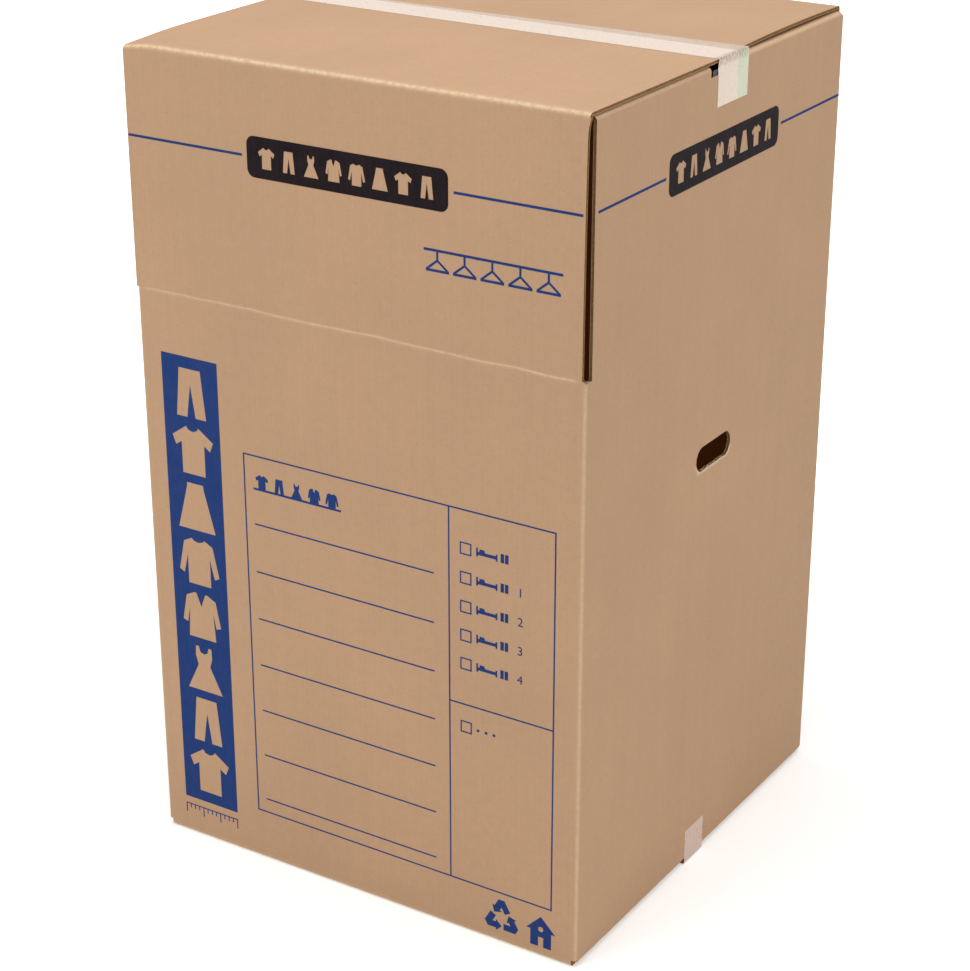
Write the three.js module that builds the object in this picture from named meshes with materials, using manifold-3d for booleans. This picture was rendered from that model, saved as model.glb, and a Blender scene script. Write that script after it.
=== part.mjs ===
import * as THREE from 'three';
import { mergeVertices } from 'three/addons/utils/BufferGeometryUtils.js';
import Module from 'manifold-3d';

// Wardrobe moving box: a tall corrugated carton, folded and glued from one blank,
// taped shut over a steel hanger bar. Millimetres, +Z up, front towards -Y,
// origin in the middle of the face it stands on.

// Board and inside space
const BOARD = 4;
const INSIDE_LENGTH = 609.6;
const INSIDE_WIDTH = 609.6;
const INSIDE_HEIGHT = 1016;
const FOLD_RADIUS = 5;
const FOLD_STEPS = 6;

// Flaps, all cut to meet in the middle
const SEAM_GAP = 1.5;
const TOP_LAYER_GAP = 2;
const BOTTOM_LAYER_GAP = 0.5;
const OUTER_FLAP_INSET = 1;
const CORNER_SLOT = 7;
const GLUE_TAB_WIDTH = 35;

// Drop-front panel, cut free from the side walls by a slot behind each front corner
const DROP_HEIGHT = 294;
const DROP_SLOT = 9;
const SCORE_DEPTH = 0.8;
const SCORE_WIDTH = 4;

// Hand holes in both side walls
const HAND_HOLE_WIDTH = 88;
const HAND_HOLE_HEIGHT = 31;
const HAND_HOLE_BELOW_TOP = 478;

// Steel hanger bar and the notches that carry it
const NOTCH_WIDTH = 86;
const NOTCH_DEPTH = 12;
const NOTCH_INTO_FLAP = 14;
const BAR_STEEL = 1.2;
const BAR_CHANNEL_WIDTH = 26;
const BAR_CHANNEL_DEPTH = 18;
const BAR_END_SIDE_CLEARANCE = 5;
const BAR_END_REACH = 8;
const BAR_NECK_LENGTH = 24;
const BAR_WALL_CLEARANCE = 0.6;
const BAR_LIP_HEIGHT = 7;

// Packing tape
const TAPE_THICKNESS = 0.2;
const TAPE_WIDTH = 48;
const TOP_TAPE_TAIL = 55;
const BOTTOM_TAPE_TAIL = 48;
const LOWER_STRIP_LEFT_Y = 10;
const LOWER_STRIP_RIGHT_Y = 24;
const UPPER_STRIP_LEFT_Y = 6;
const UPPER_STRIP_RIGHT_Y = -2;
const BOTTOM_STRIP_Y = -12;

// Print common to all four walls
const INK = 0.2;
const STRIPE_BELOW_TOP = 109;
const STRIPE_HEIGHT = 3;
const STRIPE_PLAQUE_GAP = 7;
const STRIPE_SLOT_MARGIN = 6;
const STRIPE_JOINT_MARGIN = 7;
const FRONT_STRIPE_LEFT_MARGIN = 1.5;
const FRONT_STRIPE_RIGHT_MARGIN = 7;
const PLAQUE_WIDTH = 270;
const PLAQUE_HEIGHT = 48;
const PLAQUE_CORNER_RADIUS = 10;
const PLAQUE_END_MARGIN = 12;
const PLAQUE_GARMENTS = 8;
const PLAQUE_GARMENT_HEIGHT = 25;
const PLAQUE_GARMENT_WIDTH = 23;

// Mark on the drop-front panel: hangers on a rail
const MARK_WIDTH = 176;
const MARK_RIGHT_MARGIN = 30;
const MARK_BELOW_TOP = 176;
const RAIL_HEIGHT = 3;
const RAIL_HANGERS = 5;
const HANGER_WIDTH = 30;
const HANGER_STEM = 8;
const HANGER_RISE = 12;
const HANGER_BASE = 3;
const HANGER_LINE = 2.6;

// Blue band with garments left open in it
const BAND_LEFT_MARGIN = 31.5;
const BAND_WIDTH = 84;
const BAND_BOTTOM_MARGIN = 53;
const BAND_BELOW_SCORE = 76;
const BAND_END_MARGIN = 9;
const BAND_GARMENTS = 8;
const BAND_GARMENT_WIDTH = 62;
const BAND_GARMENT_FILL = 0.84;

// Form beside the band
const FORM_LEFT_GAP = 34;
const FORM_RIGHT_MARGIN = 34;
const FORM_BOTTOM_MARGIN = 69;
const FORM_BELOW_SCORE = 181;
const FORM_LINE = 1.8;
const FORM_COLUMN_WIDTH = 142;
const FORM_LOWER_CELL = 242;
const FORM_LINES = 7;
const FORM_HEADING_SPACE = 90;
const FORM_FOOT_SPACE = 20;
const FORM_LINE_LEFT_GAP = 14;
const FORM_LINE_RIGHT_GAP = 21;
const HEADING_HEIGHT = 19;
const HEADING_WIDTH = 128;
const HEADING_BELOW_FRAME = 24;
const HEADING_GARMENTS = 5;
const CHECK_BOX = 15.5;
const CHECK_BOX_LINE = 1.6;
const CHECK_BOX_LEFT_GAP = 15;
const CHECK_BOX_BELOW_FRAME = 41;
const CHECK_BOX_PITCH = 36.7;
const CHECK_BOXES_IN_UPPER_CELL = 5;
const OTHER_BOX_BELOW_DIVIDER = 22;

// Scale of ticks under the band
const SCALE_BELOW_BAND = 10;
const SCALE_HEIGHT = 14;
const SCALE_TICKS = 13;
const SCALE_LONG_TICK_EVERY = 4;
const SCALE_LINE = 1.4;

// Levels and half sizes that follow from the board
const HALF_X = INSIDE_LENGTH / 2 + BOARD;
const HALF_Y = INSIDE_WIDTH / 2 + BOARD;
const BOTTOM_OUTER = TAPE_THICKNESS;
const BOTTOM_INNER = BOTTOM_OUTER + BOARD + BOTTOM_LAYER_GAP;
const FLOOR = BOTTOM_INNER + BOARD;
const TOP_INNER = FLOOR + INSIDE_HEIGHT + BOARD;
const TOP_OUTER = TOP_INNER + TOP_LAYER_GAP + BOARD;
const DROP_SCORE = TOP_OUTER - DROP_HEIGHT;
const SIDE_FRONT_EDGE = BOARD + DROP_SLOT;
const NOTCH_FLOOR = TOP_INNER - NOTCH_DEPTH;
const CUT = 2;

const UP = new THREE.Vector3(0, 0, 1);
const SIDES = {
  front: { outward: new THREE.Vector3(0, -1, 0), distance: HALF_Y },
  right: { outward: new THREE.Vector3(1, 0, 0), distance: HALF_X },
  back: { outward: new THREE.Vector3(0, 1, 0), distance: HALF_Y },
  left: { outward: new THREE.Vector3(-1, 0, 0), distance: HALF_X },
};

const MATERIALS = {
  board: new THREE.MeshStandardMaterial({ color: 0xbc9978, roughness: 0.9, metalness: 0 }),
  steel: new THREE.MeshStandardMaterial({ color: 0xa9acae, roughness: 0.4, metalness: 1 }),
  tape: new THREE.MeshStandardMaterial({ color: 0xe4d7c8, roughness: 0.3, metalness: 0 }),
  blueInk: new THREE.MeshStandardMaterial({ color: 0x2d4879, roughness: 0.8, metalness: 0 }),
  darkInk: new THREE.MeshStandardMaterial({ color: 0x281e2c, roughness: 0.8, metalness: 0 }),
};

const wasm = await Module();
wasm.setup();

// Solids to cut and join

function toSolid(geometry) {
  const bare = geometry.clone();
  bare.deleteAttribute('normal');
  bare.deleteAttribute('uv');
  const merged = mergeVertices(bare, 1e-4);
  return new wasm.Manifold(new wasm.Mesh({
    numProp: 3,
    vertProperties: new Float32Array(merged.attributes.position.array),
    triVerts: new Uint32Array(merged.index.array),
  }));
}

function toGeometry(solid) {
  const mesh = solid.getMesh();
  const geometry = new THREE.BufferGeometry();
  geometry.setAttribute('position', new THREE.BufferAttribute(mesh.vertProperties, 3));
  geometry.setIndex(new THREE.BufferAttribute(mesh.triVerts, 1));
  return geometry;
}

function join(solids) {
  return solids.reduce((whole, solid) => whole.add(solid));
}

function cut(solid, cutters) {
  return cutters.reduce((rest, cutter) => rest.subtract(cutter), solid);
}

function box(x0, x1, y0, y1, z0, z1) {
  const geometry = new THREE.BoxGeometry(x1 - x0, y1 - y0, z1 - z0);
  geometry.translate((x0 + x1) / 2, (y0 + y1) / 2, (z0 + z1) / 2);
  return toSolid(geometry);
}

// Outlines

function extrude(shape, depth) {
  return new THREE.ExtrudeGeometry(shape, { depth, bevelEnabled: false, curveSegments: FOLD_STEPS });
}

function arc(x, y, radius, from, to) {
  const points = [];
  for (let step = 0; step <= FOLD_STEPS; step += 1) {
    const angle = THREE.MathUtils.degToRad(from + ((to - from) * step) / FOLD_STEPS);
    points.push(new THREE.Vector2(x + radius * Math.cos(angle), y + radius * Math.sin(angle)));
  }
  return points;
}

function rectangle(x0, x1, y0, y1) {
  return [
    new THREE.Vector2(x0, y0),
    new THREE.Vector2(x1, y0),
    new THREE.Vector2(x1, y1),
    new THREE.Vector2(x0, y1),
  ];
}

// Puts a geometry drawn as seen from outside a wall, depth outwards, on that wall
function onWall(side, geometry) {
  const { outward, distance } = SIDES[side];
  const along = new THREE.Vector3().crossVectors(UP, outward);
  const matrix = new THREE.Matrix4().makeBasis(along, UP, outward);
  matrix.setPosition(outward.clone().multiplyScalar(distance));
  return geometry.clone().applyMatrix4(matrix);
}

// Carton

// Section through the walls. The tab of the left wall is glued inside the back wall.
function wallSection() {
  const inner = FOLD_RADIUS - BOARD;
  const x = HALF_X - FOLD_RADIUS;
  const y = HALF_Y - FOLD_RADIUS;
  const shape = new THREE.Shape([
    ...arc(-x, -y, FOLD_RADIUS, 180, 270),
    ...arc(x, -y, FOLD_RADIUS, 270, 360),
    ...arc(x, y, FOLD_RADIUS, 0, 90),
    new THREE.Vector2(-x, HALF_Y),
    ...arc(-x, y - BOARD, FOLD_RADIUS, 90, 180),
  ]);
  shape.holes.push(new THREE.Path([
    ...arc(-x, -y, inner, 180, 270),
    ...arc(x, -y, inner, 270, 360),
    ...arc(x, y, inner, 0, 90),
    new THREE.Vector2(-HALF_X + BOARD + GLUE_TAB_WIDTH, HALF_Y - BOARD),
    new THREE.Vector2(-HALF_X + BOARD + GLUE_TAB_WIDTH, HALF_Y - 2 * BOARD),
    ...arc(-x, y - BOARD, inner, 90, 180),
  ]));
  return shape;
}

// One wall's fold and flap with a stub of wall: face is the flap's outer face, root
// the height of the wall it grows from, and from and to are its ends along the fold
function flap(side, face, root, from, to) {
  const { outward, distance } = SIDES[side];
  const turn = Math.sign(face - root);
  const reach = distance - SEAM_GAP / 2;
  const level = (height) => (face - root) - turn * height;
  const bend = (radius, start, end) => arc(FOLD_RADIUS, 0, radius, start, end).map(
    (point) => new THREE.Vector2(point.x, level(FOLD_RADIUS - point.y)),
  );
  const shape = new THREE.Shape([
    new THREE.Vector2(0, 0),
    ...bend(FOLD_RADIUS, 180, 90),
    new THREE.Vector2(reach, level(0)),
    new THREE.Vector2(reach, level(BOARD)),
    ...bend(FOLD_RADIUS - BOARD, 90, 180),
    new THREE.Vector2(BOARD, 0),
  ]);
  const inward = outward.clone().negate();
  const along = new THREE.Vector3().crossVectors(inward, UP);
  const matrix = new THREE.Matrix4().makeBasis(inward, UP, along);
  const start = outward.clone().multiplyScalar(distance).addScaledVector(UP, root);
  matrix.setPosition(start.addScaledVector(along, from));
  return toSolid(extrude(shape, to - from).applyMatrix4(matrix));
}

function handHole(side) {
  const radius = HAND_HOLE_HEIGHT / 2;
  const reach = HAND_HOLE_WIDTH / 2 - radius;
  const height = TOP_OUTER - HAND_HOLE_BELOW_TOP;
  const shape = new THREE.Shape([
    ...arc(reach, height, radius, -90, 0),
    ...arc(reach, height, radius, 0, 90).slice(1),
    ...arc(-reach, height, radius, 90, 180),
    ...arc(-reach, height, radius, 180, 270).slice(1),
  ]);
  const plug = extrude(shape, BOARD + 2 * CUT);
  plug.translate(0, 0, -BOARD - CUT);
  return toSolid(onWall(side, plug));
}

function carton() {
  const ringBottom = BOTTOM_INNER + FOLD_RADIUS;
  const ringTop = TOP_INNER - FOLD_RADIUS;
  const ring = extrude(wallSection(), ringTop - ringBottom);
  ring.translate(0, 0, ringBottom);
  const sideFrontEdge = -HALF_Y + SIDE_FRONT_EDGE;
  const freed = box(-HALF_X - CUT, HALF_X + CUT, -HALF_Y - CUT, sideFrontEdge, DROP_SCORE, TOP_OUTER);
  const dropTop = TOP_OUTER - FOLD_RADIUS;
  const dropPanel = box(-HALF_X, HALF_X, -HALF_Y, -HALF_Y + BOARD, DROP_SCORE, dropTop);
  const slotted = HALF_X - CORNER_SLOT;
  const outerHalf = HALF_X - OUTER_FLAP_INSET;
  const sideBack = HALF_Y - CORNER_SLOT;
  const sideFront = HALF_Y - SIDE_FRONT_EDGE;
  const folded = join([
    cut(toSolid(ring), [freed]),
    dropPanel,
    flap('front', TOP_OUTER, dropTop, -outerHalf, outerHalf),
    flap('back', TOP_OUTER, ringTop, -slotted, slotted),
    flap('right', TOP_INNER, ringTop, -sideFront, sideBack),
    flap('left', TOP_INNER, ringTop, -sideBack, sideFront),
    flap('front', BOTTOM_OUTER, ringBottom, -slotted, slotted),
    flap('back', BOTTOM_OUTER, ringBottom, -slotted, slotted),
    flap('right', BOTTOM_INNER, ringBottom, -sideBack, sideBack),
    flap('left', BOTTOM_INNER, ringBottom, -sideBack, sideBack),
  ]);
  const score = new THREE.Shape([
    new THREE.Vector2(-CUT, -SCORE_WIDTH / 2 - CUT),
    new THREE.Vector2(0, -SCORE_WIDTH / 2),
    new THREE.Vector2(SCORE_DEPTH, 0),
    new THREE.Vector2(0, SCORE_WIDTH / 2),
    new THREE.Vector2(-CUT, SCORE_WIDTH / 2 + CUT),
  ]);
  const scoreMatrix = new THREE.Matrix4().makeBasis(
    new THREE.Vector3(0, 1, 0),
    UP,
    new THREE.Vector3(1, 0, 0),
  );
  scoreMatrix.setPosition(-HALF_X - CUT, -HALF_Y, DROP_SCORE);
  const scoreCut = toSolid(extrude(score, 2 * (HALF_X + CUT)).applyMatrix4(scoreMatrix));
  const notchHalf = NOTCH_WIDTH / 2;
  const notchTop = TOP_INNER + TOP_LAYER_GAP / 2;
  const notches = [-1, 1].map((end) => {
    const x = [end * (HALF_X - NOTCH_INTO_FLAP), end * (HALF_X + CUT)];
    return box(Math.min(...x), Math.max(...x), -notchHalf, notchHalf, NOTCH_FLOOR, notchTop);
  });
  return cut(folded, [scoreCut, handHole('right'), handHole('left'), ...notches]);
}

// Hanger bar: a channel open downwards, flattened and widened at each end
function hangerBar() {
  const top = NOTCH_FLOOR + BAR_STEEL;
  const endX = HALF_X - BAR_WALL_CLEARANCE;
  const plateStart = HALF_X - BOARD - BAR_END_REACH;
  const neckStart = plateStart - BAR_NECK_LENGTH;
  const endHalf = NOTCH_WIDTH / 2 - BAR_END_SIDE_CLEARANCE;
  const channelHalf = BAR_CHANNEL_WIDTH / 2;
  const web = new THREE.Shape([
    new THREE.Vector2(-endX, -endHalf),
    new THREE.Vector2(-plateStart, -endHalf),
    new THREE.Vector2(-neckStart, -channelHalf),
    new THREE.Vector2(neckStart, -channelHalf),
    new THREE.Vector2(plateStart, -endHalf),
    new THREE.Vector2(endX, -endHalf),
    new THREE.Vector2(endX, endHalf),
    new THREE.Vector2(plateStart, endHalf),
    new THREE.Vector2(neckStart, channelHalf),
    new THREE.Vector2(-neckStart, channelHalf),
    new THREE.Vector2(-plateStart, endHalf),
    new THREE.Vector2(-endX, endHalf),
  ]);
  const plate = extrude(web, BAR_STEEL);
  plate.translate(0, 0, NOTCH_FLOOR);
  const flanges = [-1, 1].map((side) => {
    const y = [side * channelHalf, side * (channelHalf - BAR_STEEL)];
    return box(-neckStart, neckStart, Math.min(...y), Math.max(...y), top - BAR_CHANNEL_DEPTH, top);
  });
  const lips = [-1, 1].map((end) => {
    const x = [end * endX, end * (endX - BAR_STEEL)];
    return box(Math.min(...x), Math.max(...x), -endHalf, endHalf, NOTCH_FLOOR, NOTCH_FLOOR + BAR_LIP_HEIGHT);
  });
  return join([toSolid(plate), ...flanges, ...lips]);
}

// Tape strip over a seam, with a tail on both side walls. Layer 0 lies on the
// board and layer 1 on the strip below it, and its middle runs from leftY to rightY.
function tape(face, tail, layer, leftY, rightY) {
  const turn = Math.sign(face - FLOOR);
  const under = layer * TAPE_THICKNESS;
  const over = under + TAPE_THICKNESS;
  const shape = new THREE.Shape([
    new THREE.Vector2(-HALF_X - over, -turn * tail),
    new THREE.Vector2(-HALF_X - under, -turn * tail),
    new THREE.Vector2(-HALF_X - under, turn * under),
    new THREE.Vector2(HALF_X + under, turn * under),
    new THREE.Vector2(HALF_X + under, -turn * tail),
    new THREE.Vector2(HALF_X + over, -turn * tail),
    new THREE.Vector2(HALF_X + over, turn * over),
    new THREE.Vector2(-HALF_X - over, turn * over),
  ]);
  const geometry = extrude(shape, TAPE_WIDTH);
  const slope = (rightY - leftY) / (2 * HALF_X);
  const middle = (rightY + leftY) / 2;
  const matrix = new THREE.Matrix4().set(
    1, 0, 0, 0,
    slope, 0, -1, middle + TAPE_WIDTH / 2,
    0, 1, 0, face,
    0, 0, 0, 1,
  );
  return geometry.applyMatrix4(matrix);
}

// Print

// Right half of each garment from neck or waist to hem, in shares of width and height
const GARMENTS = {
  shirt: [[0, 0.9], [0.1, 0.93], [0.15, 1], [0.5, 0.76], [0.42, 0.56], [0.28, 0.65], [0.28, 0]],
  dress: [[0, 0.84], [0.09, 0.88], [0.12, 1], [0.2, 1], [0.21, 0.78], [0.15, 0.58], [0.44, 0]],
  trousers: [[0.26, 1], [0.36, 0], [0.1, 0], [0, 0.66]],
  coat: [[0, 0.72], [0.11, 1], [0.17, 1], [0.37, 0.9], [0.48, 0.34], [0.36, 0.3], [0.3, 0.6], [0.34, 0]],
  skirt: [[0.2, 1], [0.21, 0.9], [0.46, 0]],
  jumper: [[0, 0.93], [0.1, 0.95], [0.16, 1], [0.36, 0.9], [0.5, 0.26], [0.38, 0.2], [0.28, 0.6], [0.28, 0]],
};
const GARMENT_ORDER = ['shirt', 'trousers', 'dress', 'coat', 'jumper', 'skirt'];

function garment(index, x, y, width, height) {
  const half = GARMENTS[GARMENT_ORDER[index % GARMENT_ORDER.length]];
  const mirrored = half.filter(([across]) => across > 0).map(([across, up]) => [-across, up]).reverse();
  return [...half, ...mirrored].map(
    ([across, up]) => new THREE.Vector2(x + across * width, y + up * height),
  );
}

// Ink on a wall: outlines that are inked, and outlines left open in them
function printed(side, { ink, open = [] }) {
  const plates = ink.map((outline) => toSolid(onWall(side, extrude(new THREE.Shape(outline), INK))));
  const openings = open.map((outline) => {
    const opening = extrude(new THREE.Shape(outline), INK + 2 * CUT);
    opening.translate(0, 0, -CUT);
    return toSolid(onWall(side, opening));
  });
  return cut(join(plates), openings);
}

// Dark field with rounded corners and garments left open in it
function plaque() {
  const level = TOP_OUTER - STRIPE_BELOW_TOP;
  const x = PLAQUE_WIDTH / 2 - PLAQUE_CORNER_RADIUS;
  const y = PLAQUE_HEIGHT / 2 - PLAQUE_CORNER_RADIUS;
  const outline = [
    ...arc(-x, level - y, PLAQUE_CORNER_RADIUS, 180, 270),
    ...arc(x, level - y, PLAQUE_CORNER_RADIUS, 270, 360),
    ...arc(x, level + y, PLAQUE_CORNER_RADIUS, 0, 90),
    ...arc(-x, level + y, PLAQUE_CORNER_RADIUS, 90, 180),
  ];
  const pitch = (PLAQUE_WIDTH - 2 * PLAQUE_END_MARGIN) / PLAQUE_GARMENTS;
  const low = level - PLAQUE_GARMENT_HEIGHT / 2;
  const open = [];
  for (let index = 0; index < PLAQUE_GARMENTS; index += 1) {
    const middle = (index - (PLAQUE_GARMENTS - 1) / 2) * pitch;
    open.push(garment(index, middle, low, PLAQUE_GARMENT_WIDTH, PLAQUE_GARMENT_HEIGHT));
  }
  return { ink: [outline], open };
}

const STRIPE_LOW = TOP_OUTER - STRIPE_BELOW_TOP - STRIPE_HEIGHT / 2;
const STRIPE_START = PLAQUE_WIDTH / 2 + STRIPE_PLAQUE_GAP;

// Stripe beside a plaque that ends at the given distance from the middle of the wall
function stripe(hand, end) {
  const [from, to] = hand < 0 ? [-end, -STRIPE_START] : [STRIPE_START, end];
  return { ink: [rectangle(from, to, STRIPE_LOW, STRIPE_LOW + STRIPE_HEIGHT)] };
}

// Stripe that runs round the folded corner between the right and back walls
function cornerStripe() {
  const x = HALF_X - FOLD_RADIUS;
  const y = HALF_Y - FOLD_RADIUS;
  const bend = new THREE.Shape([
    ...arc(x, y, FOLD_RADIUS + INK, 0, 90),
    ...arc(x, y, FOLD_RADIUS, 90, 0),
  ]);
  const turn = extrude(bend, STRIPE_HEIGHT);
  turn.translate(0, 0, STRIPE_LOW);
  return join([printed('right', stripe(1, y)), toSolid(turn), printed('back', stripe(-1, x))]);
}

function band() {
  const left = -HALF_X + BAND_LEFT_MARGIN;
  const top = DROP_SCORE - BAND_BELOW_SCORE;
  const first = BAND_BOTTOM_MARGIN + BAND_END_MARGIN;
  const pitch = (top - BAND_END_MARGIN - first) / BAND_GARMENTS;
  const height = pitch * BAND_GARMENT_FILL;
  const open = [];
  for (let index = 0; index < BAND_GARMENTS; index += 1) {
    const low = first + index * pitch + (pitch - height) / 2;
    open.push(garment(index, left + BAND_WIDTH / 2, low, BAND_GARMENT_WIDTH, height));
  }
  return { ink: [rectangle(left, left + BAND_WIDTH, BAND_BOTTOM_MARGIN, top)], open };
}

// Places on the form, worked out once for its frame, lines and boxes
const FORM_LEFT = -HALF_X + BAND_LEFT_MARGIN + BAND_WIDTH + FORM_LEFT_GAP;
const FORM_RIGHT = HALF_X - FORM_RIGHT_MARGIN;
const FORM_TOP = DROP_SCORE - FORM_BELOW_SCORE;
const FORM_DIVIDER_X = FORM_RIGHT - FORM_COLUMN_WIDTH;
const FORM_DIVIDER_Z = FORM_BOTTOM_MARGIN + FORM_LOWER_CELL;

function formFrame() {
  const half = FORM_LINE / 2;
  const low = FORM_BOTTOM_MARGIN + FORM_LINE;
  const high = FORM_TOP - FORM_LINE;
  const right = FORM_RIGHT - FORM_LINE;
  return {
    ink: [rectangle(FORM_LEFT, FORM_RIGHT, FORM_BOTTOM_MARGIN, FORM_TOP)],
    open: [
      rectangle(FORM_LEFT + FORM_LINE, FORM_DIVIDER_X - half, low, high),
      rectangle(FORM_DIVIDER_X + half, right, low, FORM_DIVIDER_Z - half),
      rectangle(FORM_DIVIDER_X + half, right, FORM_DIVIDER_Z + half, high),
    ],
  };
}

function formLine(index) {
  const span = FORM_TOP - FORM_HEADING_SPACE - FORM_BOTTOM_MARGIN - FORM_FOOT_SPACE;
  const level = FORM_TOP - FORM_HEADING_SPACE - (span * index) / (FORM_LINES - 1);
  const left = FORM_LEFT + FORM_LINE_LEFT_GAP;
  const right = FORM_DIVIDER_X - FORM_LINE_RIGHT_GAP;
  return { ink: [rectangle(left, right, level - FORM_LINE / 2, level + FORM_LINE / 2)] };
}

function checkBox(index) {
  const left = FORM_DIVIDER_X + CHECK_BOX_LEFT_GAP;
  const right = left + CHECK_BOX;
  const upper = FORM_TOP - CHECK_BOX_BELOW_FRAME - index * CHECK_BOX_PITCH;
  const top = index < CHECK_BOXES_IN_UPPER_CELL ? upper : FORM_DIVIDER_Z - OTHER_BOX_BELOW_DIVIDER;
  const low = top - CHECK_BOX;
  const line = CHECK_BOX_LINE;
  return {
    ink: [rectangle(left, right, low, top)],
    open: [rectangle(left + line, right - line, low + line, top - line)],
  };
}

// A row of garments that stand on an underline
function heading() {
  const left = FORM_LEFT + FORM_LINE_LEFT_GAP;
  const low = FORM_TOP - HEADING_BELOW_FRAME - HEADING_HEIGHT;
  const pitch = HEADING_WIDTH / HEADING_GARMENTS;
  const ink = [rectangle(left, left + HEADING_WIDTH, low - FORM_LINE, low + FORM_LINE / 2)];
  for (let index = 0; index < HEADING_GARMENTS; index += 1) {
    ink.push(garment(index, left + (index + 0.5) * pitch, low, HEADING_HEIGHT, HEADING_HEIGHT));
  }
  return { ink };
}

// Hangers on a rail, all in one line of ink
function dropPanelMark() {
  const right = HALF_X - MARK_RIGHT_MARGIN;
  const left = right - MARK_WIDTH;
  const top = TOP_OUTER - MARK_BELOW_TOP;
  const peak = top - RAIL_HEIGHT - HANGER_STEM;
  const shoulder = peak - HANGER_RISE;
  const half = HANGER_WIDTH / 2;
  const slope = HANGER_RISE / half;
  const innerPeak = peak - HANGER_LINE * Math.hypot(1, slope);
  const innerHalf = (innerPeak - shoulder) / slope;
  const pitch = MARK_WIDTH / RAIL_HANGERS;
  const ink = [rectangle(left, right, top - RAIL_HEIGHT, top)];
  const open = [];
  for (let index = 0; index < RAIL_HANGERS; index += 1) {
    const x = left + (index + 0.5) * pitch;
    ink.push([
      new THREE.Vector2(x, peak),
      new THREE.Vector2(x - half, shoulder),
      new THREE.Vector2(x - half, shoulder - HANGER_BASE),
      new THREE.Vector2(x + half, shoulder - HANGER_BASE),
      new THREE.Vector2(x + half, shoulder),
    ]);
    ink.push(rectangle(x - HANGER_LINE / 2, x + HANGER_LINE / 2, innerPeak, top - RAIL_HEIGHT / 2));
    open.push([
      new THREE.Vector2(x, innerPeak),
      new THREE.Vector2(x - innerHalf, shoulder),
      new THREE.Vector2(x + innerHalf, shoulder),
    ]);
  }
  return { ink, open };
}

function sizeScale() {
  const left = -HALF_X + BAND_LEFT_MARGIN;
  const top = BAND_BOTTOM_MARGIN - SCALE_BELOW_BAND;
  const pitch = (BAND_WIDTH - SCALE_LINE) / (SCALE_TICKS - 1);
  const ink = [rectangle(left, left + BAND_WIDTH, top - SCALE_LINE, top)];
  for (let index = 0; index < SCALE_TICKS; index += 1) {
    const x = left + index * pitch;
    const length = index % SCALE_LONG_TICK_EVERY === 0 ? SCALE_HEIGHT : SCALE_HEIGHT / 2;
    ink.push(rectangle(x, x + SCALE_LINE, top - length, top - SCALE_LINE / 2));
  }
  return { ink };
}

// Scene

const wardrobeBox = new THREE.Group();

function addMesh(name, geometry, material) {
  const mesh = new THREE.Mesh(geometry, material);
  mesh.name = name;
  wardrobeBox.add(mesh);
}

function addPrint(name, side, outlines, material) {
  addMesh(name, toGeometry(printed(side, outlines)), material);
}

addMesh('carton', toGeometry(carton()), MATERIALS.board);
addMesh('hanger_bar', toGeometry(hangerBar()), MATERIALS.steel);
const lowerStrip = tape(TOP_OUTER, TOP_TAPE_TAIL, 0, LOWER_STRIP_LEFT_Y, LOWER_STRIP_RIGHT_Y);
addMesh('top_tape_lower', lowerStrip, MATERIALS.tape);
const upperStrip = tape(TOP_OUTER, TOP_TAPE_TAIL, 1, UPPER_STRIP_LEFT_Y, UPPER_STRIP_RIGHT_Y);
addMesh('top_tape_upper', upperStrip, MATERIALS.tape);
const bottomStrip = tape(BOTTOM_OUTER, BOTTOM_TAPE_TAIL, 0, BOTTOM_STRIP_Y, BOTTOM_STRIP_Y);
addMesh('bottom_tape', bottomStrip, MATERIALS.tape);

for (const side of Object.keys(SIDES)) {
  addPrint(`${side}_plaque`, side, plaque(), MATERIALS.darkInk);
}

const sideStripeEnd = HALF_Y - SIDE_FRONT_EDGE - STRIPE_SLOT_MARGIN;
const jointEnd = FOLD_RADIUS + STRIPE_JOINT_MARGIN;
addPrint('front_stripe_left', 'front', stripe(-1, HALF_X - FRONT_STRIPE_LEFT_MARGIN), MATERIALS.blueInk);
addPrint('front_stripe_right', 'front', stripe(1, HALF_X - FRONT_STRIPE_RIGHT_MARGIN), MATERIALS.blueInk);
addPrint('right_stripe', 'right', stripe(-1, sideStripeEnd), MATERIALS.blueInk);
addMesh('corner_stripe', toGeometry(cornerStripe()), MATERIALS.blueInk);
addPrint('back_stripe', 'back', stripe(1, HALF_X - jointEnd), MATERIALS.blueInk);
addPrint('left_stripe_back', 'left', stripe(-1, HALF_Y - BOARD - jointEnd), MATERIALS.blueInk);
addPrint('left_stripe_front', 'left', stripe(1, sideStripeEnd), MATERIALS.blueInk);

addPrint('drop_panel_mark', 'front', dropPanelMark(), MATERIALS.blueInk);
addPrint('front_band', 'front', band(), MATERIALS.blueInk);
addPrint('size_scale', 'front', sizeScale(), MATERIALS.blueInk);
addPrint('form_frame', 'front', formFrame(), MATERIALS.blueInk);
addPrint('form_heading', 'front', heading(), MATERIALS.blueInk);
for (let index = 0; index < FORM_LINES; index += 1) {
  addPrint(`form_line_${index + 1}`, 'front', formLine(index), MATERIALS.blueInk);
}
for (let index = 0; index <= CHECK_BOXES_IN_UPPER_CELL; index += 1) {
  addPrint(`check_box_${index + 1}`, 'front', checkBox(index), MATERIALS.blueInk);
}

export default wardrobeBox;
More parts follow.
